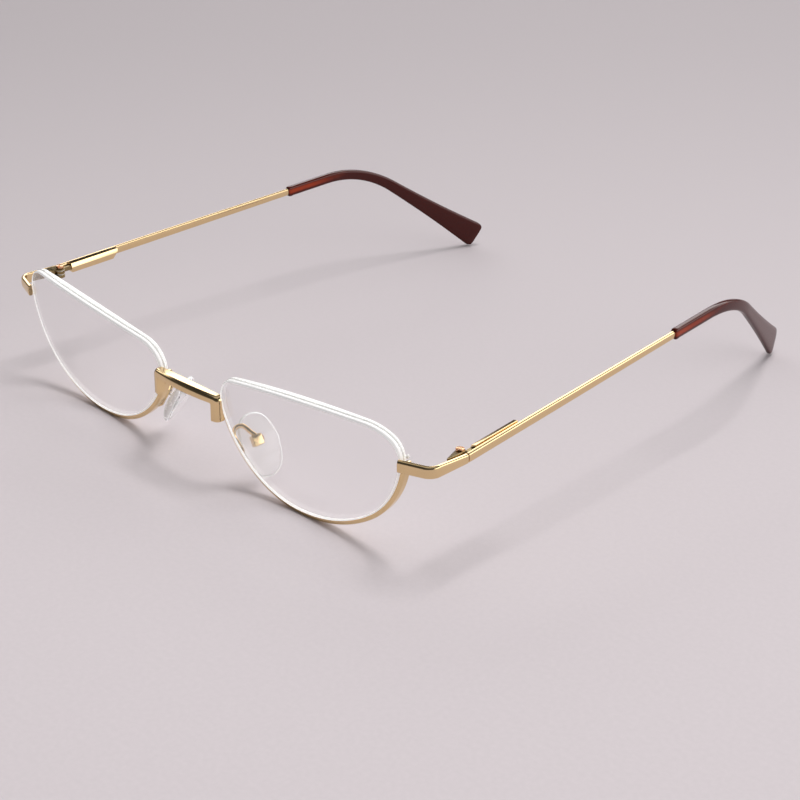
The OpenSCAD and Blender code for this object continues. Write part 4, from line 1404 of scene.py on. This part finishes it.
def build_stage():
    """The table, its light and the camera where the photograph was taken."""
    scene = bpy.context.scene
    scene.view_settings.view_transform = "Standard"
    deselect()
    bpy.ops.mesh.primitive_plane_add(size=5)
    table = bpy.context.object
    table.name = "table"
    edit(table)
    bpy.ops.mesh.subdivide(number_cuts=3)
    bpy.ops.object.mode_set(mode="OBJECT")
    table.data.materials.append(table_card())
    build_world(scene)
    build_lamp((0.0, 0.25, 0.8))
    build_camera(scene)


def build_lamp(at):
    """A square softbox that looks at the glasses."""
    deselect()
    aim = (-Vector(at)).to_track_quat("-Z", "Y").to_euler()
    bpy.ops.object.light_add(type="AREA", location=at, rotation=aim)
    light = bpy.context.object
    light.name = "key_softbox"
    light.data.shape = "SQUARE"
    light.data.size = 0.3
    light.data.energy = 3.6
    light.visible_glossy = False
    light.visible_transmission = False


def build_world(scene):
    """Bright walls behind and to the right, a dark gap above them, a dim room in front,
    and a pale ceiling."""
    world = bpy.data.worlds.new("studio")
    scene.world = world
    world.use_nodes = True
    shade, output = (world.node_tree.nodes[name] for name in ("Background", "World Output"))
    where = add_node(world, "TexCoord").outputs["Generated"]
    rise = add_node(world, "SeparateXYZ", {"Vector": where}).outputs["Z"]

    def towards(direction, low, high, before, after):
        """One light that gives way to another as a ray heads more in a direction."""
        dot = add_node(world, "VectorMath", {0: where, 1: direction}, operation="DOT_PRODUCT")
        share = add_node(world, "MapRange", {"Value": dot, "From Min": low, "From Max": high},
                         interpolation_type="SMOOTHSTEP")
        return add_node(world, "Mix", {"Factor": share, "A": before, "B": after},
                        data_type="RGBA")

    # Greys by the height of a ray: floor, wall, gap and ceiling
    ceiling = (0.9, 0.16), (1, 0.16)
    gap = (0.59, 0.01), (0.84, 0.01), *ceiling
    low_wall = (0, 0.03), (0.2, 0.04), (0.3, 0.12), (0.36, 1)
    back, high, right, front = (
        add_node(world, "ValToRGB", {"Fac": rise}, stops)
        for stops in (
            (*low_wall, (0.55, 1), *gap),
            (*low_wall, (0.8, 1), *ceiling),
            ((0, 0.3), (0.1, 0.4), (0.2, 0.9), (0.55, 0.9), *gap),
            ((0, 0.05), (0.3, 0.02), (0.84, 0.01), *ceiling),
        ))
    light = towards(BEHIND, 0.49, 0.55, back, high)
    light = towards(BACKWARDS, 0.35, 0.75, front, light)
    light = towards(RIGHT, 0.5, 0.85, light, right)
    fill_sockets(world, shade, {"Color": light, "Strength": 3.2})
    # The camera sees a plain pale wall instead
    seen = add_node(world, "LightPath").outputs["Is Camera Ray"]
    wall = add_node(world, "Background", {"Color": rgba(linear("#dfdadb"))})
    mix = add_node(world, "MixShader", {0: seen, 1: shade, 2: wall})
    fill_sockets(world, output, {"Surface": mix})


def build_camera(scene):
    stage = sizes("stage")
    az, el, roll = radians(stage.azimuth), radians(stage.elevation), radians(stage.roll)
    look = Vector((-sin(az) * cos(el), cos(az) * cos(el), -sin(el)))
    flat_right = Vector((cos(az), sin(az), 0))
    flat_up = flat_right.cross(look)
    right = flat_right * cos(roll) + flat_up * sin(roll)
    up = flat_up * cos(roll) - flat_right * sin(roll)
    deselect()
    bpy.ops.object.camera_add()
    camera = bpy.context.object
    camera.name = "camera"
    turn = Matrix((right, up, -look)).transposed()
    at = Vector(stage.eye) + Y * row_shift() * MM
    camera.matrix_world = Matrix.Translation(at) @ turn.to_4x4()
    camera.data.sensor_width = 36
    camera.data.lens = stage.focal
    camera.data.shift_x, camera.data.shift_y = stage.shift_x, stage.shift_y
    camera.data.clip_start = 0.01
    scene.camera = camera


# Operators and panel

class BuildStep:
    """What the steps share: each runs one building function."""

    bl_options = {"REGISTER", "UNDO"}

    def execute(self, context):
        type(self).build()
        return {"FINISHED"}


class GLASSES_OT_stage(BuildStep, bpy.types.Operator):
    """Set up the table, the light and the camera"""
    bl_idname = "glasses.stage"
    bl_label = "Table, light and camera"
    build = staticmethod(build_stage)


class GLASSES_OT_lenses(BuildStep, bpy.types.Operator):
    """Grind the two clear lenses with their grooved edges"""
    bl_idname = "glasses.lenses"
    bl_label = "Lenses"
    build = staticmethod(build_lenses)


class GLASSES_OT_rims(BuildStep, bpy.types.Operator):
    """Bend the two open metal rims round the lenses"""
    bl_idname = "glasses.rims"
    bl_label = "Rims"
    build = staticmethod(build_rims)


class GLASSES_OT_cords(BuildStep, bpy.types.Operator):
    """Lay the nylon cords over the top of the lenses"""
    bl_idname = "glasses.cords"
    bl_label = "Lens cords"
    build = staticmethod(build_cords)


class GLASSES_OT_bridge(BuildStep, bpy.types.Operator):
    """Bend the bridge with its two tabs"""
    bl_idname = "glasses.bridge"
    bl_label = "Bridge"
    build = staticmethod(build_bridge)


class GLASSES_OT_end_pieces(BuildStep, bpy.types.Operator):
    """Bend the two end pieces round to the hinges"""
    bl_idname = "glasses.end_pieces"
    bl_label = "End pieces"
    build = staticmethod(build_end_pieces)


class GLASSES_OT_hinge_leaves(BuildStep, bpy.types.Operator):
    """Shape the hinge eyes of the front with their leaf"""
    bl_idname = "glasses.hinge_leaves"
    bl_label = "Hinge leaves"
    build = staticmethod(build_hinge_leaves)


class GLASSES_OT_hinge_screws(BuildStep, bpy.types.Operator):
    """Turn and slot the two hinge screws"""
    bl_idname = "glasses.hinge_screws"
    bl_label = "Hinge screws"
    build = staticmethod(build_hinge_screws)


class GLASSES_OT_spring_housings(BuildStep, bpy.types.Operator):
    """Make the two spring housings"""
    bl_idname = "glasses.spring_housings"
    bl_label = "Spring housings"
    build = staticmethod(build_spring_housings)


class GLASSES_OT_temple_bars(BuildStep, bpy.types.Operator):
    """Roll the two temple bars with their core wires"""
    bl_idname = "glasses.temple_bars"
    bl_label = "Temple bars"
    build = staticmethod(build_temple_bars)


class GLASSES_OT_temple_tips(BuildStep, bpy.types.Operator):
    """Draw the two plastic sleeves over the temple ends"""
    bl_idname = "glasses.temple_tips"
    bl_label = "Temple tips"
    build = staticmethod(build_temple_tips)


class GLASSES_OT_pad_arms(BuildStep, bpy.types.Operator):
    """Bend the two gooseneck pad arms"""
    bl_idname = "glasses.pad_arms"
    bl_label = "Pad arms"
    build = staticmethod(build_pad_arms)


class GLASSES_OT_pad_boxes(BuildStep, bpy.types.Operator):
    """Make the two pad boxes and their screws"""
    bl_idname = "glasses.pad_boxes"
    bl_label = "Pad boxes"
    build = staticmethod(build_pad_boxes)


class GLASSES_OT_nose_pads(BuildStep, bpy.types.Operator):
    """Mould the two clear nose pads"""
    bl_idname = "glasses.nose_pads"
    bl_label = "Nose pads"
    build = staticmethod(build_nose_pads)


class GLASSES_OT_coil_springs(BuildStep, bpy.types.Operator):
    """Model the coil springs in the housings"""
    bl_idname = "glasses.coil_springs"
    bl_label = "Coil springs"
    build = staticmethod(build_coil_springs)


class GLASSES_OT_inner_parts(BuildStep, bpy.types.Operator):
    """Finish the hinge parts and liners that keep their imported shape"""
    bl_idname = "glasses.inner_parts"
    bl_label = "Inner parts"
    build = staticmethod(dress_inner_parts)


STEPS = (
    GLASSES_OT_stage, GLASSES_OT_lenses, GLASSES_OT_rims, GLASSES_OT_cords, GLASSES_OT_bridge,
    GLASSES_OT_end_pieces, GLASSES_OT_hinge_leaves, GLASSES_OT_hinge_screws,
    GLASSES_OT_spring_housings, GLASSES_OT_temple_bars, GLASSES_OT_temple_tips,
    GLASSES_OT_pad_arms, GLASSES_OT_pad_boxes, GLASSES_OT_nose_pads, GLASSES_OT_coil_springs,
    GLASSES_OT_inner_parts,
)


class GLASSES_PT_steps(bpy.types.Panel):
    """The steps that build the glasses, and their sizes"""
    bl_idname = "GLASSES_PT_steps"
    bl_label = "Reading glasses"
    bl_space_type = "VIEW_3D"
    bl_region_type = "UI"
    bl_category = "Glasses"

    def draw(self, context):
        for step in STEPS:
            self.layout.operator(step.bl_idname)
        for name, group in GROUPS.items():
            box = self.layout.box()
            box.label(text=name.title())
            values = getattr(context.scene, "glasses_" + name)
            for key in group.__annotations__:
                box.prop(values, key)


def register():
    for kind in (*GROUPS.values(), *STEPS, GLASSES_PT_steps):
        bpy.utils.register_class(kind)
    for name, group in GROUPS.items():
        setattr(bpy.types.Scene, "glasses_" + name, PointerProperty(type=group))


def unregister():
    for name in GROUPS:
        delattr(bpy.types.Scene, "glasses_" + name)
    for kind in (GLASSES_PT_steps, *STEPS[::-1], *GROUPS.values()):
        bpy.utils.unregister_class(kind)


def main():
    register()
    for step in STEPS:
        group, name = step.bl_idname.split(".")
        getattr(getattr(bpy.ops, group), name)()


if __name__ == "__main__":
    main()
